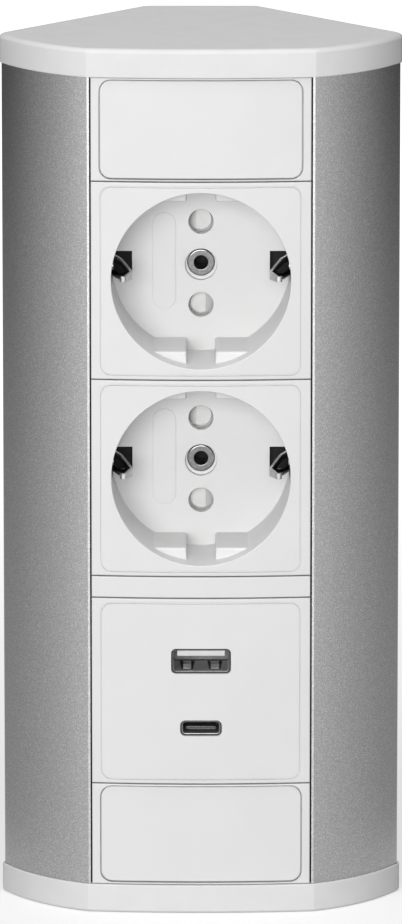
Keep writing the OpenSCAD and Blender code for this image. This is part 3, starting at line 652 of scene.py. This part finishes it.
# %% [markdown]
# ## The round front
# All modules share one gently round front of 240 mm radius. Moulded faces are drawn flat first,
# which keeps rims and grooves simple. Then `follow_front` cuts the face into narrow strips and
# bends them back, and the bend fades out towards the flange's flat back.

# %% Bending a face to the front
FRONT_R = 240.0
FLANGE_BACK = 2.8
STRIP_W = 1.25
STRIPS_PER_SIDE = 20


def crown(x):
    """Depth of the round front at a distance x from the middle."""
    return FRONT_R - math.sqrt(FRONT_R * FRONT_R - x * x)


def follow_front(bm, fade_from=0.6):
    """Bends the front of a flat drawing back along the modules' round front."""
    for i in range(-STRIPS_PER_SIDE, STRIPS_PER_SIDE + 1):
        near = [f for f in bm.faces if max(v.co.y for v in f.verts) < fade_from]
        geom = near + list({e for f in near for e in f.edges}) + list({v for f in near for v in f.verts})
        bmesh.ops.bisect_plane(bm, geom=geom, plane_co=(i * STRIP_W, 0, 0), plane_no=(1, 0, 0), dist=WELD)
    for v in bm.verts:
        if v.co.y < FLANGE_BACK:
            fade = min(1.0, (FLANGE_BACK - v.co.y) / (FLANGE_BACK - fade_from))
            v.co.y += crown(v.co.x) * fade
    return bm


print("the front falls back by mm:", round(crown(STRIP_W * STRIPS_PER_SIDE), 2))

# %% [markdown]
# ## Modules
# Each module has a flange that lies over the extrusion's rails, a skirt that fits between them, and
# a rib behind each rail, so that it can only slide. A sharp edge on a real moulding always has a
# small radius, which catches the light, so the flange's front edge gets 0.2 mm.

# %% Module blank
MODULE_W = 48.9
MODULE_GAP = 0.14
FLANGE_EDGE = 0.2
CORE_HALF = 23.0
CORE_FRONT = FLANGE_BACK - 0.6
CORE_DEPTH = 6.0
MOULD_T = 1.5
RIB_W, RIB_FRONT, RIB_BACK = 2.4, 4.6, 5.6
RIB_X = CORE_HALF - 0.3
FACE_W, FACE_R = 44.9, 2.5
GROOVE_W, GROOVE_DEPTH, GROOVE_MARGIN = 0.4, 0.5, 0.95


def module(z, h, hollow=True):
    """Flange, skirt and ribs of a module from height z, drawn with a flat face."""
    tall = h - 2 * MODULE_GAP
    mid = z + h / 2
    bm = slab(MODULE_W, tall, 0, FLANGE_BACK, z=mid, edge=FLANGE_EDGE)
    steps = [("UNION", slab(2 * CORE_HALF, tall, CORE_FRONT, CORE_DEPTH, z=mid))]
    for side in (-1, 1):
        steps.append(("UNION", slab(RIB_W, tall, RIB_FRONT, RIB_BACK, x=side * RIB_X, z=mid)))
    if hollow:
        inside = slab(2 * (CORE_HALF - MOULD_T), tall - 2 * MOULD_T, FLANGE_BACK, CORE_DEPTH + 1, z=mid)
        steps.append(("DIFFERENCE", inside))
    return combined(bm, *steps)


def groove(h, z):
    """Cutter for the shallow line round the face of a module that is h high, with its middle at z."""
    tall = h - 2 * GROOVE_MARGIN
    ring = slab(FACE_W, tall, -1, GROOVE_DEPTH, z=z, round_r=FACE_R)
    inner = slab(FACE_W - 2 * GROOVE_W, tall - 2 * GROOVE_W, -2, 1, z=z, round_r=FACE_R - GROOVE_W)
    return combined(ring, ("DIFFERENCE", inner))


print("modules are wide, in mm:", MODULE_W)

# %% [markdown]
# ## Socket covers
# This is the most skilled moulding of the tower: a round tub 19.5 mm deep, with a rounded rim, four
# guide blocks beside two notches, slots for the earth clips, two pin holes and a seat for the
# rivet. The rim's radius is part of the turned cutter, so it is round all the way.

# %% Recess tools
RECESS_R = 20.0
RECESS_DEPTH = 19.5
FLOOR_BACK = 22.0
TUB_R = 21.73
TUB_FRONT = 1.5
PIN_Z = 9.5
PIN_HOLE_R = 2.8
SEAT_R = 3.6
SEAT_DEPTH = 1.3
SEAT_DROP = 0.3
SHANK_HOLE_R = 2.7
BLOCK_Z = 17.0
BLOCK_X = 3.2
BLOCK_FRONT = 5.0
BLOCK_LENGTH = 15.7
BLOCK_EDGE = 0.5
BLOCK_BITE = 0.75


def recess_cutter(z):
    """The recess with its rounded rim and a small radius where wall and floor meet."""
    rim = 0.2
    foot = 0.35
    profile = [(0, -1), (RECESS_R + rim, -1)]
    profile += fillet((RECESS_R + rim, rim), rim, 270, 180, 6)
    profile += fillet((RECESS_R - foot, RECESS_DEPTH - foot), foot, 0, 90, 4)
    profile += [(0, RECESS_DEPTH)]
    return turned(profile, z, 120)


def pin_hole_cutter(z):
    """A round hole through the floor with a rounded mouth."""
    mouth = 0.12
    profile = [(0, RECESS_DEPTH - 1), (PIN_HOLE_R + mouth, RECESS_DEPTH - 1)]
    profile += fillet((PIN_HOLE_R + mouth, RECESS_DEPTH + mouth), mouth, 270, 180, 4)
    profile += [(PIN_HOLE_R, FLOOR_BACK + 1), (0, FLOOR_BACK + 1)]
    return turned(profile, z, 48)


def rivet_seat(z):
    """The sunk seat of the rivet's head, a little low, and the hole for its shank."""
    rim = 0.1
    foot = 0.2
    seat = RECESS_DEPTH + SEAT_DEPTH
    profile = [(0, RECESS_DEPTH - 1), (SEAT_R + rim, RECESS_DEPTH - 1)]
    profile += fillet((SEAT_R + rim, RECESS_DEPTH + rim), rim, 270, 180, 3)
    profile += fillet((SEAT_R - foot, seat - foot), foot, 0, 90, 3)
    profile += [(SHANK_HOLE_R, seat), (SHANK_HOLE_R, FLOOR_BACK + 1), (0, FLOOR_BACK + 1)]
    return turned(profile, z - SEAT_DROP, 64)


def guide_block(z, x_side, z_side):
    """One guide block: a slice of the round that is left beyond two flats, with soft edges."""
    bm = bmesh.new()
    bmesh.ops.create_circle(bm, cap_ends=True, radius=RECESS_R + BLOCK_BITE, segments=120)
    for spot, away in (((0, BLOCK_Z, 0), (0, 1, 0)), ((BLOCK_X, 0, 0), (1, 0, 0))):
        bmesh.ops.bisect_plane(bm, geom=bm.verts[:] + bm.edges[:] + bm.faces[:], dist=NEAR,
                               plane_co=spot, plane_no=away, clear_inner=True)
    bmesh.ops.rotate(bm, cent=(0, 0, 0), matrix=FACE_ON, verts=bm.verts)
    move(bm, 0, BLOCK_FRONT, 0)
    pulled(bm, (0, BLOCK_LENGTH, 0))

    def on_flat(v):
        return abs(v.co.z - BLOCK_Z) < 1e-3 or abs(v.co.x - BLOCK_X) < 1e-3

    def in_wall(v):
        return math.hypot(v.co.x, v.co.z) > RECESS_R + BLOCK_BITE - 0.05

    soft = [e for e in bm.edges if all(on_flat(v) for v in e.verts)
            and (max(v.co.y for v in e.verts) < BLOCK_FRONT + 0.01
                 or abs(e.verts[0].co.y - e.verts[1].co.y) > 1)
            and not all(in_wall(v) for v in e.verts)]
    rounded(bm, soft, BLOCK_EDGE, 4)
    bmesh.ops.scale(bm, vec=(x_side, 1, z_side), verts=bm.verts)
    bmesh.ops.recalc_face_normals(bm, faces=bm.faces)
    move(bm, 0, 0, z)
    return bm


print("recess in mm:", 2 * RECESS_R, "wide and", RECESS_DEPTH, "deep")

# %% [markdown]
# The cover is put together in the order in which a toolmaker would think of it: the tub joins the
# module, the recess is cut, the guide blocks are put back in, and the small openings come last. The
# low pill-shaped panel in the floor stays bare.

# %% Socket covers
SOCKETS = {"upper": 145.5, "lower": 100.5}
SOCKET_H = 45.0
CLIP_SLOT = 5.6
SLOT_INNER = 15.4
SLOT_OUTER = TUB_R + 1
SLOT_FRONT = 10.0
PANEL_W, PANEL_H, PANEL_R = 5.25, 22.0, 2.6
PANEL_X, PANEL_RISE = -8.25, 0.6
PANEL_T, PANEL_EDGE = 0.3, 0.12
COVER_FINISH = ("white_cover_plastic", cover_white, 30)


def clip_slot(z, side):
    """Cutter for the slot in the recess wall in which an earth clip stands."""
    middle = side * (SLOT_OUTER + SLOT_INNER) / 2
    return slab(SLOT_OUTER - SLOT_INNER, CLIP_SLOT, SLOT_FRONT, FLOOR_BACK + 1, x=middle, z=z)


def socket_cover(z):
    """The whole cover of a socket whose axis is at height z."""
    tub = turned([(0, TUB_FRONT), (TUB_R, TUB_FRONT), (TUB_R, FLOOR_BACK), (0, FLOOR_BACK)], z, 120)
    blocks = together(*(guide_block(z, x, u) for x in (-1, 1) for u in (-1, 1)))
    openings = together(
        *(clip_slot(z, side) for side in (-1, 1)),
        *(pin_hole_cutter(z + side * PIN_Z) for side in (-1, 1)), rivet_seat(z))
    panel = slab(PANEL_W, PANEL_H, RECESS_DEPTH - PANEL_T, RECESS_DEPTH + 0.5, x=PANEL_X,
                 z=z + PANEL_RISE, round_r=PANEL_R, edge=PANEL_EDGE)
    bm = combined(
        module(z - SOCKET_H / 2, SOCKET_H),
        ("UNION", tub), ("DIFFERENCE", recess_cutter(z)), ("UNION", blocks),
        ("DIFFERENCE", openings), ("DIFFERENCE", groove(SOCKET_H, z)), ("UNION", panel))
    return follow_front(bm)


for level, z in SOCKETS.items():
    settle(socket_cover(z), f"{level}_cover_face", f"{level}_socket_cover", *COVER_FINISH)

# %% [markdown]
# ## Rivets
# A hollow rivet holds each socket together. Its head in front is flat with a rounded outer edge, and
# its end behind is rolled over. A pin of the dark base fills the rear of the bore, so nobody can look
# through the tower; it is also a dark piece put in as painted shade of the deep bore.

# %% Rivets
BORE_R = 1.6
SHANK_R = 2.3
HEAD_R = 3.1
HEAD_RISE = 0.6
ROLL_R = 0.6
RIVET_END = 40.7
BORE_SHADE_PIN = (1.57, 27, 40.5)


def rivet(z):
    """A hollow rivet with a flat head in front and a rolled end behind."""
    seat = RECESS_DEPTH + SEAT_DEPTH
    front = [*fillet((HEAD_R - 0.35, seat - 0.25), 0.35, 0, -90, 6), (HEAD_R - 0.4, seat - HEAD_RISE),
             (BORE_R + 0.15, seat - HEAD_RISE), *fillet((BORE_R + 0.1, seat - 0.5), 0.1, 270, 180, 3)]
    back = [*fillet((BORE_R + ROLL_R, RIVET_END), ROLL_R, 180, 90, 6),
            *fillet((HEAD_R - ROLL_R, RIVET_END), ROLL_R, 90, 0, 6)]
    return turned([(SHANK_R, seat), (HEAD_R, seat), *front, *back, (SHANK_R, RIVET_END)], z, 64)


def bore_shade_pin(z):
    """The dark pin in the rear of the bore, a piece put in as painted shade of the deep bore."""
    r, front, back = BORE_SHADE_PIN
    return turned([(0, front), (r, front), (r, back), (0, back)], z, 32)


for level, z in SOCKETS.items():
    settle(rivet(z), f"{level}_hollow_rivet", f"{level}_rivet", "nickel", rivet_nickel, 40)
    # painted shade: a black pin deep in each rivet's bore
    settle(bore_shade_pin(z), f"{level}_bore_shade_pin", f"{level}_socket_base", "base_plastic", base_black,
           twin=False)

# %% [markdown]
# ## Earth clips
# Each clip is bent from a stamped strip of spring metal 4.9 mm wide. We draw its run in plan, move
# by move, give the line its width upwards, and let Solidify add the thickness on both sides. The
# stamped outline comes after that, as a cut from the side: two arms round a window, which meet in a
# narrow nose. A fine Bevel takes the sharpness off the cut edges.

# %% Earth clips
CLIP_X = 20.15
CLIP_ROOT = 26.4
CLIP_BEND = 21.9
NOSE = (15.55, 7.0)
NOSE_R = 2.5
NOSE_TURN = 20
LEAD_LENGTH = 3.5
CURL_R = 0.45
CURL_TURN = 150
STRIP_H = 6
STRIP_T = 0.6
STRIP_OUTLINE = [(26.35, 2.45), (13.5, 2.45), (8.5, 1.05), (1.5, 0.55)]
STRIP_WINDOW = [(20, 1.0), (13.5, 1.0), (10.6, 0.3)]
BURR_FREE = ("BEVEL", {"width": 0.08 * MM, "segments": 2, "limit_method": "ANGLE",
                       "angle_limit": math.radians(50)})


def bezier(p, steps):
    """Points on a cubic curve."""
    for i in range(1, steps + 1):
        t = i / steps
        s = 1 - t
        yield tuple(s ** 3 * a + 3 * s * s * t * b + 3 * s * t * t * c + t ** 3 * d
                    for a, b, c, d in zip(*p))


def drawn_to(bm, tip, spot):
    """Draws a straight line from the tip to a spot, where the new tip is."""
    tip = bmesh.ops.extrude_vert_indiv(bm, verts=[tip])["verts"][0]
    tip.co = spot
    return tip


def turned_on(bm, tip, centre, degrees, steps):
    """Draws an arc in plan from the tip to a new tip."""
    arc = bmesh.ops.spin(bm, geom=[tip], cent=centre, axis=(0, 0, 1), angle=math.radians(degrees),
                         steps=steps)
    return points_of(arc["geom_last"])[0]


def across(points, soft, low, high):
    """A slab across the tower, from its side view in depth and height, with soft corners."""
    bm = bmesh.new()
    bm.faces.new([bm.verts.new((low, d, h)) for d, h in points])
    rounded(bm, bm.verts[:], soft, 4, "VERTICES")
    pulled(bm, (high - low, 0, 0))
    return bm


def mirrored(half):
    """A closed side view from its upper half."""
    return half + [(d, -h) for d, h in half[::-1]]


def earth_clip(z, side):
    """The stamped strip from its root at the strap to the curled tip."""
    bm = bmesh.new()
    tip = bm.verts.new((CLIP_X, CLIP_ROOT, 0))
    bend = (CLIP_X, CLIP_BEND)
    for x, y in [bend, *bezier([bend, (CLIP_X, 16.9), (16.45, 11.0), NOSE], 16)]:
        tip = drawn_to(bm, tip, (x, y, 0))
    lean = math.radians(NOSE_TURN)
    lead = Vector((math.sin(lean), -math.cos(lean), 0))
    tip = turned_on(bm, tip, (NOSE[0] + NOSE_R, NOSE[1], 0), NOSE_TURN, 6)
    tip = drawn_to(bm, tip, tip.co + LEAD_LENGTH * lead)
    turned_on(bm, tip, tip.co + CURL_R * Vector((-lead.y, lead.x, 0)), CURL_TURN, 12)
    bmesh.ops.remove_doubles(bm, verts=bm.verts, dist=WELD)
    up = bmesh.ops.extrude_edge_only(bm, edges=bm.edges[:])["geom"]
    bmesh.ops.translate(bm, vec=(0, 0, STRIP_H), verts=points_of(up))
    move(bm, 0, 0, -STRIP_H / 2)
    bmesh.ops.recalc_face_normals(bm, faces=bm.faces)
    bm = combined(
        bm, ("SOLIDIFY", STRIP_T),
        ("INTERSECT", across(mirrored(STRIP_OUTLINE), 0.3, 12, 24)),
        ("DIFFERENCE", across(mirrored(STRIP_WINDOW), 0.15, 11, 25)))
    bmesh.ops.scale(bm, vec=(side, 1, 1), verts=bm.verts)
    move(bm, 0, 0, z)
    bmesh.ops.recalc_face_normals(bm, faces=bm.faces)
    return bm


for level, z in SOCKETS.items():
    for word, side in (("left", -1), ("right", 1)):
        name = f"{level}_{word}_earth_clip"
        settle(earth_clip(z, side), f"{name}_strip", name, "nickel", nickel, 30, extras=(BURR_FREE,))

# %% [markdown]
# ## Blanks
# A blank is a frame with a snap-in plate. The plate's face lies 0.3 mm below the frame's, and its
# edge is rounded, so the joint reads as a soft dark line.

# %% Blanks
BLANKS = {"top": 168.0, "bottom": 6.5}
BLANK_H = 23.5
PLATE_W, PLATE_H = 44.9, 22.1
PLATE_FRONT, PLATE_BACK = 0.3, 2.4
LEDGE = 3
LEG_X, LEG_T, LEG_FRONT = 18.65, 1.2, 2.0
BARB_X, BARB_T, BARB_FRONT = 18.95, 1.8, 6.2
LEG_H, LEG_BACK = 6, 7.1


def blank_frame(z):
    """The frame with its ledge and window."""
    mid = z + BLANK_H / 2
    return follow_front(combined(
        module(z, BLANK_H, hollow=False),
        ("DIFFERENCE", slab(PLATE_W + 0.5, PLATE_H + 0.5, -1, PLATE_BACK, z=mid, round_r=2.75)),
        ("DIFFERENCE", slab(PLATE_W - 2 * LEDGE, PLATE_H - 2 * LEDGE, -1, 7, z=mid))))


def blank_plate(z):
    """The plate with its two barbed legs."""
    mid = z + BLANK_H / 2
    face = slab(PLATE_W, PLATE_H, PLATE_FRONT, PLATE_BACK, z=mid, round_r=2.5, edge=0.3, edge_steps=4)
    legs = []
    for side in (-1, 1):
        legs.append(slab(LEG_T, LEG_H, LEG_FRONT, LEG_BACK, x=side * LEG_X, z=mid))
        legs.append(slab(BARB_T, LEG_H, BARB_FRONT, LEG_BACK, x=side * BARB_X, z=mid, edge=0.25))
    return combined(follow_front(face, fade_from=1.0), *(("UNION", leg) for leg in legs))


for level, z in BLANKS.items():
    settle(blank_frame(z), f"{level}_frame_face", f"{level}_blank_frame", *COVER_FINISH)
    settle(blank_plate(z), f"{level}_snap_plate", f"{level}_blank_plate", *COVER_FINISH)

# %% [markdown]
# ## Spacer and charger cover
# The spacer is a module only 5 mm high. The charger's cover has the same groove as the sockets and
# two openings that fit closely round the metal port shells.

# %% Spacer and charger cover
SPACER_Z, SPACER_H = 73.0, 5.0
CHARGER_Z, CHARGER_H = 30.0, 43.0
USB_A_Z, USB_C_Z = 58.5, 43.0
WIDE_PORT = (13.3, 5.7, 1.0)
SMALL_PORT = (9.25, 3.55, 1.15)
PORT_FIT = 0.05

settle(follow_front(module(SPACER_Z, SPACER_H)), "spacer_face", "spacer_strip", *COVER_FINISH)


def port_opening(z, size, steps):
    """Cutter that fits round a port's shell, from its width, height and corner radius."""
    w, h, r = size
    return slab(w + 2 * PORT_FIT, h + 2 * PORT_FIT, -1, 7, z=z, round_r=r + PORT_FIT, round_steps=steps)


def charger_cover():
    """The charger's face with its two port openings."""
    ports = together(port_opening(USB_A_Z, WIDE_PORT, 6), port_opening(USB_C_Z, SMALL_PORT, 8))
    return follow_front(combined(
        module(CHARGER_Z, CHARGER_H),
        ("DIFFERENCE", groove(CHARGER_H, CHARGER_Z + CHARGER_H / 2)), ("DIFFERENCE", ports)))


settle(charger_cover(), "charger_face", "usb_cover", *COVER_FINISH)

# %% [markdown]
# ## End caps
# The caps repeat the tower's plan, half a millimetre larger all round. We draw that outline as a
# person would with a compass: straight moves, and turns about the centres of the arcs. The top
# cap's upper edge is rounded by 1.2 mm, the bottom cap's lower edge by 0.8 mm.

# %% Plan of the tower
EDGE_X = 25.3
EDGE_D = crown(EDGE_X)
CORNER = (45.0, 19.6)
SIDE_R = 38.0
CORNER_R = 2.5
BACK_R = 2.5
BACK = 52.0
FLANK = CORNER[0] + CORNER[1]


def way(turn):
    """Outward direction at a turn from the front, over the right side, to the back."""
    return Vector((math.sin(math.radians(turn)), -math.cos(math.radians(turn)), 0))


chord = (CORNER[0] - EDGE_X, CORNER[1] - EDGE_D)
SIDE_START = math.degrees(math.atan2(chord[1], chord[0]) - math.asin(math.hypot(*chord) / SIDE_R / 2))
SIDE_CENTRE = Vector((EDGE_X, EDGE_D, 0)) - SIDE_R * way(SIDE_START)


def corner_turn(inset):
    """Turn at which an arc of radius inset touches both the round side and the flank."""
    gap = (FLANK - inset * math.sqrt(2) - SIDE_CENTRE.x - SIDE_CENTRE.y) / (SIDE_R - inset) / math.sqrt(2)
    return 45 + math.degrees(math.asin(gap))


def corner_centre(inset):
    """Middle of the corner between the round side and the flank."""
    return SIDE_CENTRE + (SIDE_R - inset) * way(corner_turn(inset))


def back_centre(inset):
    """Middle of the corner between the flank and the back."""
    return Vector((FLANK - BACK - inset * (math.sqrt(2) - 1), BACK - inset, 0))


def tower_plan(grow):
    """The closed outline in plan, drawn by moves and turns, as one face."""
    bm = bmesh.new()
    front = math.degrees(math.asin(EDGE_X / FRONT_R))
    arcs = [(Vector((0, FRONT_R, 0)), FRONT_R, -front, front, 24),
            (SIDE_CENTRE, SIDE_R, SIDE_START, corner_turn(CORNER_R), 40),
            (corner_centre(CORNER_R), CORNER_R, corner_turn(CORNER_R), 135, 12),
            (back_centre(BACK_R), BACK_R, 135, 180, 8)]
    other = [(Vector((-c.x, c.y, 0)), r, 360 - end, 360 - start, n) for c, r, start, end, n in arcs[:0:-1]]
    tip = None
    for centre, r, start, end, steps in arcs + other:
        begin = centre + (r + grow) * way(start)
        tip = bm.verts.new(begin) if tip is None else drawn_to(bm, tip, begin)
        tip = turned_on(bm, tip, centre, end - start, steps)
    bm.verts.ensure_lookup_table()
    bm.edges.new((tip, bm.verts[0]))
    bmesh.ops.remove_doubles(bm, verts=bm.verts, dist=WELD)
    bmesh.ops.contextual_create(bm, geom=bm.edges[:])
    return bm


print("the sides start at a turn of", round(SIDE_START, 1), "degrees")

# %% [markdown]
# The cap is the outline raised to its height and rounded above. Below, an inset and a push inwards
# leave the wall and the hollow underside, and four pegs go down into the extrusion's ports.

# %% End caps
CAP_H = 6.5
CAP_TOP = 2.7
CAP_LIP = 0.5
CAP_WALL = 1.6
LIP_EDGE = 0.2
BODY_Z = (6.5, 191.5)
PORT_INSET = 4.0
BOSS = (2.9, 0.0, 4.0)
PEG = (1.55, -8.0, 0.5)
CAP_FINISH = ("white_cap_plastic", cap_white, 13)


def at_height(parts, level):
    """Those edges or faces that lie flat at a height."""
    return [part for part in parts if all(abs(v.co.z - level) < NEAR for v in part.verts)]


def cap(round_r, steps):
    """An end cap with its joint at height 0 and its rounded face above."""
    bm = tower_plan(CAP_LIP)
    pulled(bm, (0, 0, CAP_H))
    rounded(bm, at_height(bm.edges, CAP_H), round_r, steps)
    rounded(bm, at_height(bm.edges, 0), LIP_EDGE, 2)
    bmesh.ops.inset_region(bm, faces=at_height(bm.faces, 0), thickness=CAP_WALL + CAP_LIP - LIP_EDGE,
                           use_even_offset=True)
    joint = max(at_height(bm.faces, 0), key=lambda face: face.calc_area())
    new = bmesh.ops.extrude_face_region(bm, geom=[joint])["geom"]
    bmesh.ops.translate(bm, vec=(0, 0, CAP_H - CAP_TOP), verts=points_of(new))
    if joint.is_valid:
        bmesh.ops.delete(bm, geom=[joint], context="FACES_ONLY")
    return bm


def pegs():
    """Four pegs on bosses, for a cap whose joint is below it."""
    bm = bmesh.new()
    for side in (-1, 1):
        for spot in (corner_centre(PORT_INSET), back_centre(PORT_INSET)):
            for r, low, high in (BOSS, PEG):
                shift = Matrix.Translation((side * spot.x, spot.y, (low + high) / 2))
                bmesh.ops.create_cone(bm, cap_ends=True, segments=32, radius1=r, radius2=r,
                                      depth=high - low, matrix=shift)
    return bm


def placed_cap(z, up, round_r, steps):
    """The cap with its pegs, turned over when it closes the foot."""
    bm = together(cap(round_r, steps), pegs())
    if up < 0:
        bmesh.ops.scale(bm, vec=(1, 1, -1), verts=bm.verts)
        bmesh.ops.reverse_faces(bm, faces=bm.faces)
    move(bm, 0, 0, z)
    return bm


settle(placed_cap(BODY_Z[1], 1, 1.2, 6), "top_cap_shell", "top_cap", *CAP_FINISH)
settle(placed_cap(BODY_Z[0], -1, 0.8, 5), "bottom_cap_shell", "bottom_cap", *CAP_FINISH)

# %% [markdown]
# ## Twins of the remaining visible solids
# Some solids already have the right shape and only lack soft edges. `softened` copies the CAD
# mesh, welds it, clears the flat triangles away and rounds the sharp edges, then takes the solid's
# place.

# %% Softened twins
SHARP = 30


def softened(node, width, steps=2):
    """A welded copy of a CAD node, in millimetres, with rounded edges."""
    bm = bmesh.new()
    bm.from_mesh(nodes[node].data)
    bmesh.ops.scale(bm, vec=(1 / MM,) * 3, verts=bm.verts)
    move(bm, 0, MID_DEPTH, 0)
    bmesh.ops.remove_doubles(bm, verts=bm.verts, dist=1e-3)
    bmesh.ops.dissolve_limit(bm, angle_limit=math.radians(0.4), use_dissolve_boundaries=False,
                             verts=bm.verts, edges=bm.edges, delimit=set())
    hard = [e for e in bm.edges if len(e.link_faces) == 2 and e.calc_face_angle(0) > math.radians(SHARP)]
    rounded(bm, hard, width, steps, clamp=True)
    return bm


body = softened("body_profile", 0.15)
settle(body, "extrusion", "body_profile", "anodised_aluminium", satin_aluminium, 20)
for level in SOCKETS:
    settle(softened(f"{level}_shutter", 0.15, 3), f"{level}_shutter_disc", f"{level}_shutter",
           "shutter_plastic", shutter_white, 35)
settle(softened("cable_inlet", 0.3, 3), "inlet_bush", "cable_inlet", "inlet_rubber", inlet_rubber, 40)

# %% [markdown]
# ## Ports
# A port's shell is bent from tinned sheet, so its corners are round. Its cut edge in front is bare
# steel, painted almost black as painted shade of the narrow gap round the shell. In the wide port's lower
# wall two spring leaves are stamped free: each rises from its root at the back, bows, and comes down
# again towards the mouth.

# %% Port shells
SHELL_FRONT = 0.6
BOARD_FRONT = 12.0
LEAF_X = 3.1
LEAF_HALF = 0.9
LEAF_DROP = 2.85
LEAF_SIDE = [(11.9, 0.44), (9.3, 0.44), (5.0, 1.2), (4.3, 1.2), (3.0, 0.5),
             (3.2, 0.2), (4.5, 0.85), (4.9, 0.85), (9.2, 0.02), (11.9, 0.02)]
WINDOW_PLAN = [(-1.25, 2.2), (1.25, 2.2), (1.75, 10.9), (-1.75, 10.9)]
WINDOW_LOW, WINDOW_HIGH = USB_A_Z - 3.5, USB_A_Z - 2


def shell(z, size, wall, lip):
    """A sheet-metal shell, open in front and behind, with a rounded mouth."""
    w, h, r = size
    bm = combined(
        slab(w, h, SHELL_FRONT, BOARD_FRONT, z=z, round_r=r),
        ("DIFFERENCE", slab(w - 2 * wall, h - 2 * wall, 0, BOARD_FRONT + 1, z=z, round_r=r - wall)))

    def at_mouth(v):
        near = abs(v.co.x) < w / 2 - wall + 0.01 and abs(v.co.z - z) < h / 2 - wall + 0.01
        return near and abs(v.co.y - SHELL_FRONT) < 1e-3

    rounded(bm, [e for e in bm.edges if all(at_mouth(v) for v in e.verts)], lip, 4)
    return bm


def leaf_window(x):
    """Cutter for the window round a leaf, wider at the back."""
    bm = bmesh.new()
    bm.faces.new([bm.verts.new((x + a, d, WINDOW_LOW)) for a, d in WINDOW_PLAN])
    pulled(bm, (0, 0, WINDOW_HIGH - WINDOW_LOW))
    return bm


def leaf(x):
    """A bowed spring leaf of the wide port's lower wall."""
    side_view = [(d, h + USB_A_Z - LEAF_DROP) for d, h in LEAF_SIDE]
    return across(side_view, 0.05, x - LEAF_HALF, x + LEAF_HALF)


wide = combined(
    shell(USB_A_Z, WIDE_PORT, 0.45, 0.12),
    *(("DIFFERENCE", leaf_window(x)) for x in (-LEAF_X, LEAF_X)),
    *(("UNION", leaf(x)) for x in (-LEAF_X, LEAF_X)))
settle(wide, "wide_port_shell", "usb_a_shell", "nickel", port_steel, 30)
small = shell(USB_C_Z, SMALL_PORT, 0.5, 0.22)
settle(small, "small_port_shell", "usb_c_shell", "nickel", port_steel, 30)

# %% [markdown]
# Inside the wide port there is a white tongue, slanted underneath towards its front, where its four
# contacts lie. An insulator of the same white plastic closes the shell behind it, given a dark grey as
# painted shade for its deep place, and a black stand carries the shell from below. The small port's
# black tongue stands in the middle and has a row of contacts on each side, which are shifted by half a
# pitch.

# %% Tongues, contacts and insulator
TONGUE_RISE = 1.1
TONGUE_SIDE = [(1.9, 0.92), (1.9, -0.3), (5.5, -0.92), (12, -0.92), (12, 0.92)]
CONTACT_SIDE = [(3.2, -0.45), (3.2, -0.6), (5.5, -1.02), (12, -1.02), (12, -0.85), (5.5, -0.85)]
CONTACT_X = (-3.75, -1.25, 1.25, 3.75)
INSULATOR_BACK = 11.9
SMALL_TONGUE_Z = USB_C_Z - 0.1
PAD_START, PAD_PITCH, PAD_RISE = -2.875, 0.5, 0.28

tongue = across(TONGUE_SIDE, 0.1, -5.3, 5.3)
move(tongue, 0, 0, USB_A_Z + TONGUE_RISE)
settle(tongue, "wide_port_tongue", "usb_a_tongue", "shutter_plastic", shutter_white, 25)

springs = together(*(across(CONTACT_SIDE, 0.03, x - 0.5, x + 0.5) for x in CONTACT_X))
move(springs, 0, 0, USB_A_Z + TONGUE_RISE)
settle(springs, "wide_port_contacts", "usb_a_contacts", "nickel", nickel, 30)

tongue_gap = slab(10.8, 2.6, 10, 13, z=USB_A_Z + 0.9)
insulator = combined(slab(12.3, 4.7, 11.0, INSULATOR_BACK, z=USB_A_Z), ("DIFFERENCE", tongue_gap))
settle(insulator, "wide_port_insulator", "usb_a_tongue", "dark_plastic", shaded_insulator, twin=False)
stand = slab(13.0, 1.0, 3.0, INSULATOR_BACK, z=USB_A_Z - 3.6)
settle(stand, "wide_port_stand", "usb_a_tongue", "dark_plastic", dark_moulding, twin=False)

blade = slab(6.7, 0.6, 1.1, BOARD_FRONT, z=SMALL_TONGUE_Z, edge=0.08)
settle(blade, "small_port_tongue", "usb_c_tongue", "dark_plastic", dark_moulding)


def pad(i, row):
    """A contact pad of the small port's upper row, 0, or lower row, 1."""
    x = PAD_START + PAD_PITCH * (i + row / 2)
    return slab(0.26, 0.1, 1.05, 1.7, x=x, z=SMALL_TONGUE_Z + PAD_RISE * (1 - 2 * row))


pads = together(*(pad(i, row) for i in range(12) for row in (0, 1)))
settle(pads, "small_port_contacts", "usb_c_tongue", "nickel", nickel, twin=False)

# %% [markdown]
# ## Solids that stay
# What is hidden behind the covers keeps its CAD shape. Each solid still gets the finish of what it
# is, because the part can be opened and looked into.

# %% Inner finishes on the CAD solids
INNER = {
    "socket_base": base_black, "live_contact": brass, "neutral_contact": brass, "earth_strap": brass,
    "shutter_spring": spring_wire,
}
plain = {f"{level}_{part}": material for level in SOCKETS for part, material in INNER.items()}
plain |= {
    "usb_case": base_black, "usb_circuit_board": solder_mask,
    "usb_transformer": ferrite, "usb_capacitor": dark_moulding, "usb_terminals": brass,
    "live_wire": live_brown, "neutral_wire": neutral_blue, "earth_wire": earth_green,
    "earth_bracket": brass,
}
for name, material in plain.items():
    for slot in nodes[name].material_slots:
        slot.material = material
    if not nodes[name].material_slots:
        nodes[name].data.materials.append(material)
print("CAD solids that stay:", len(plain))
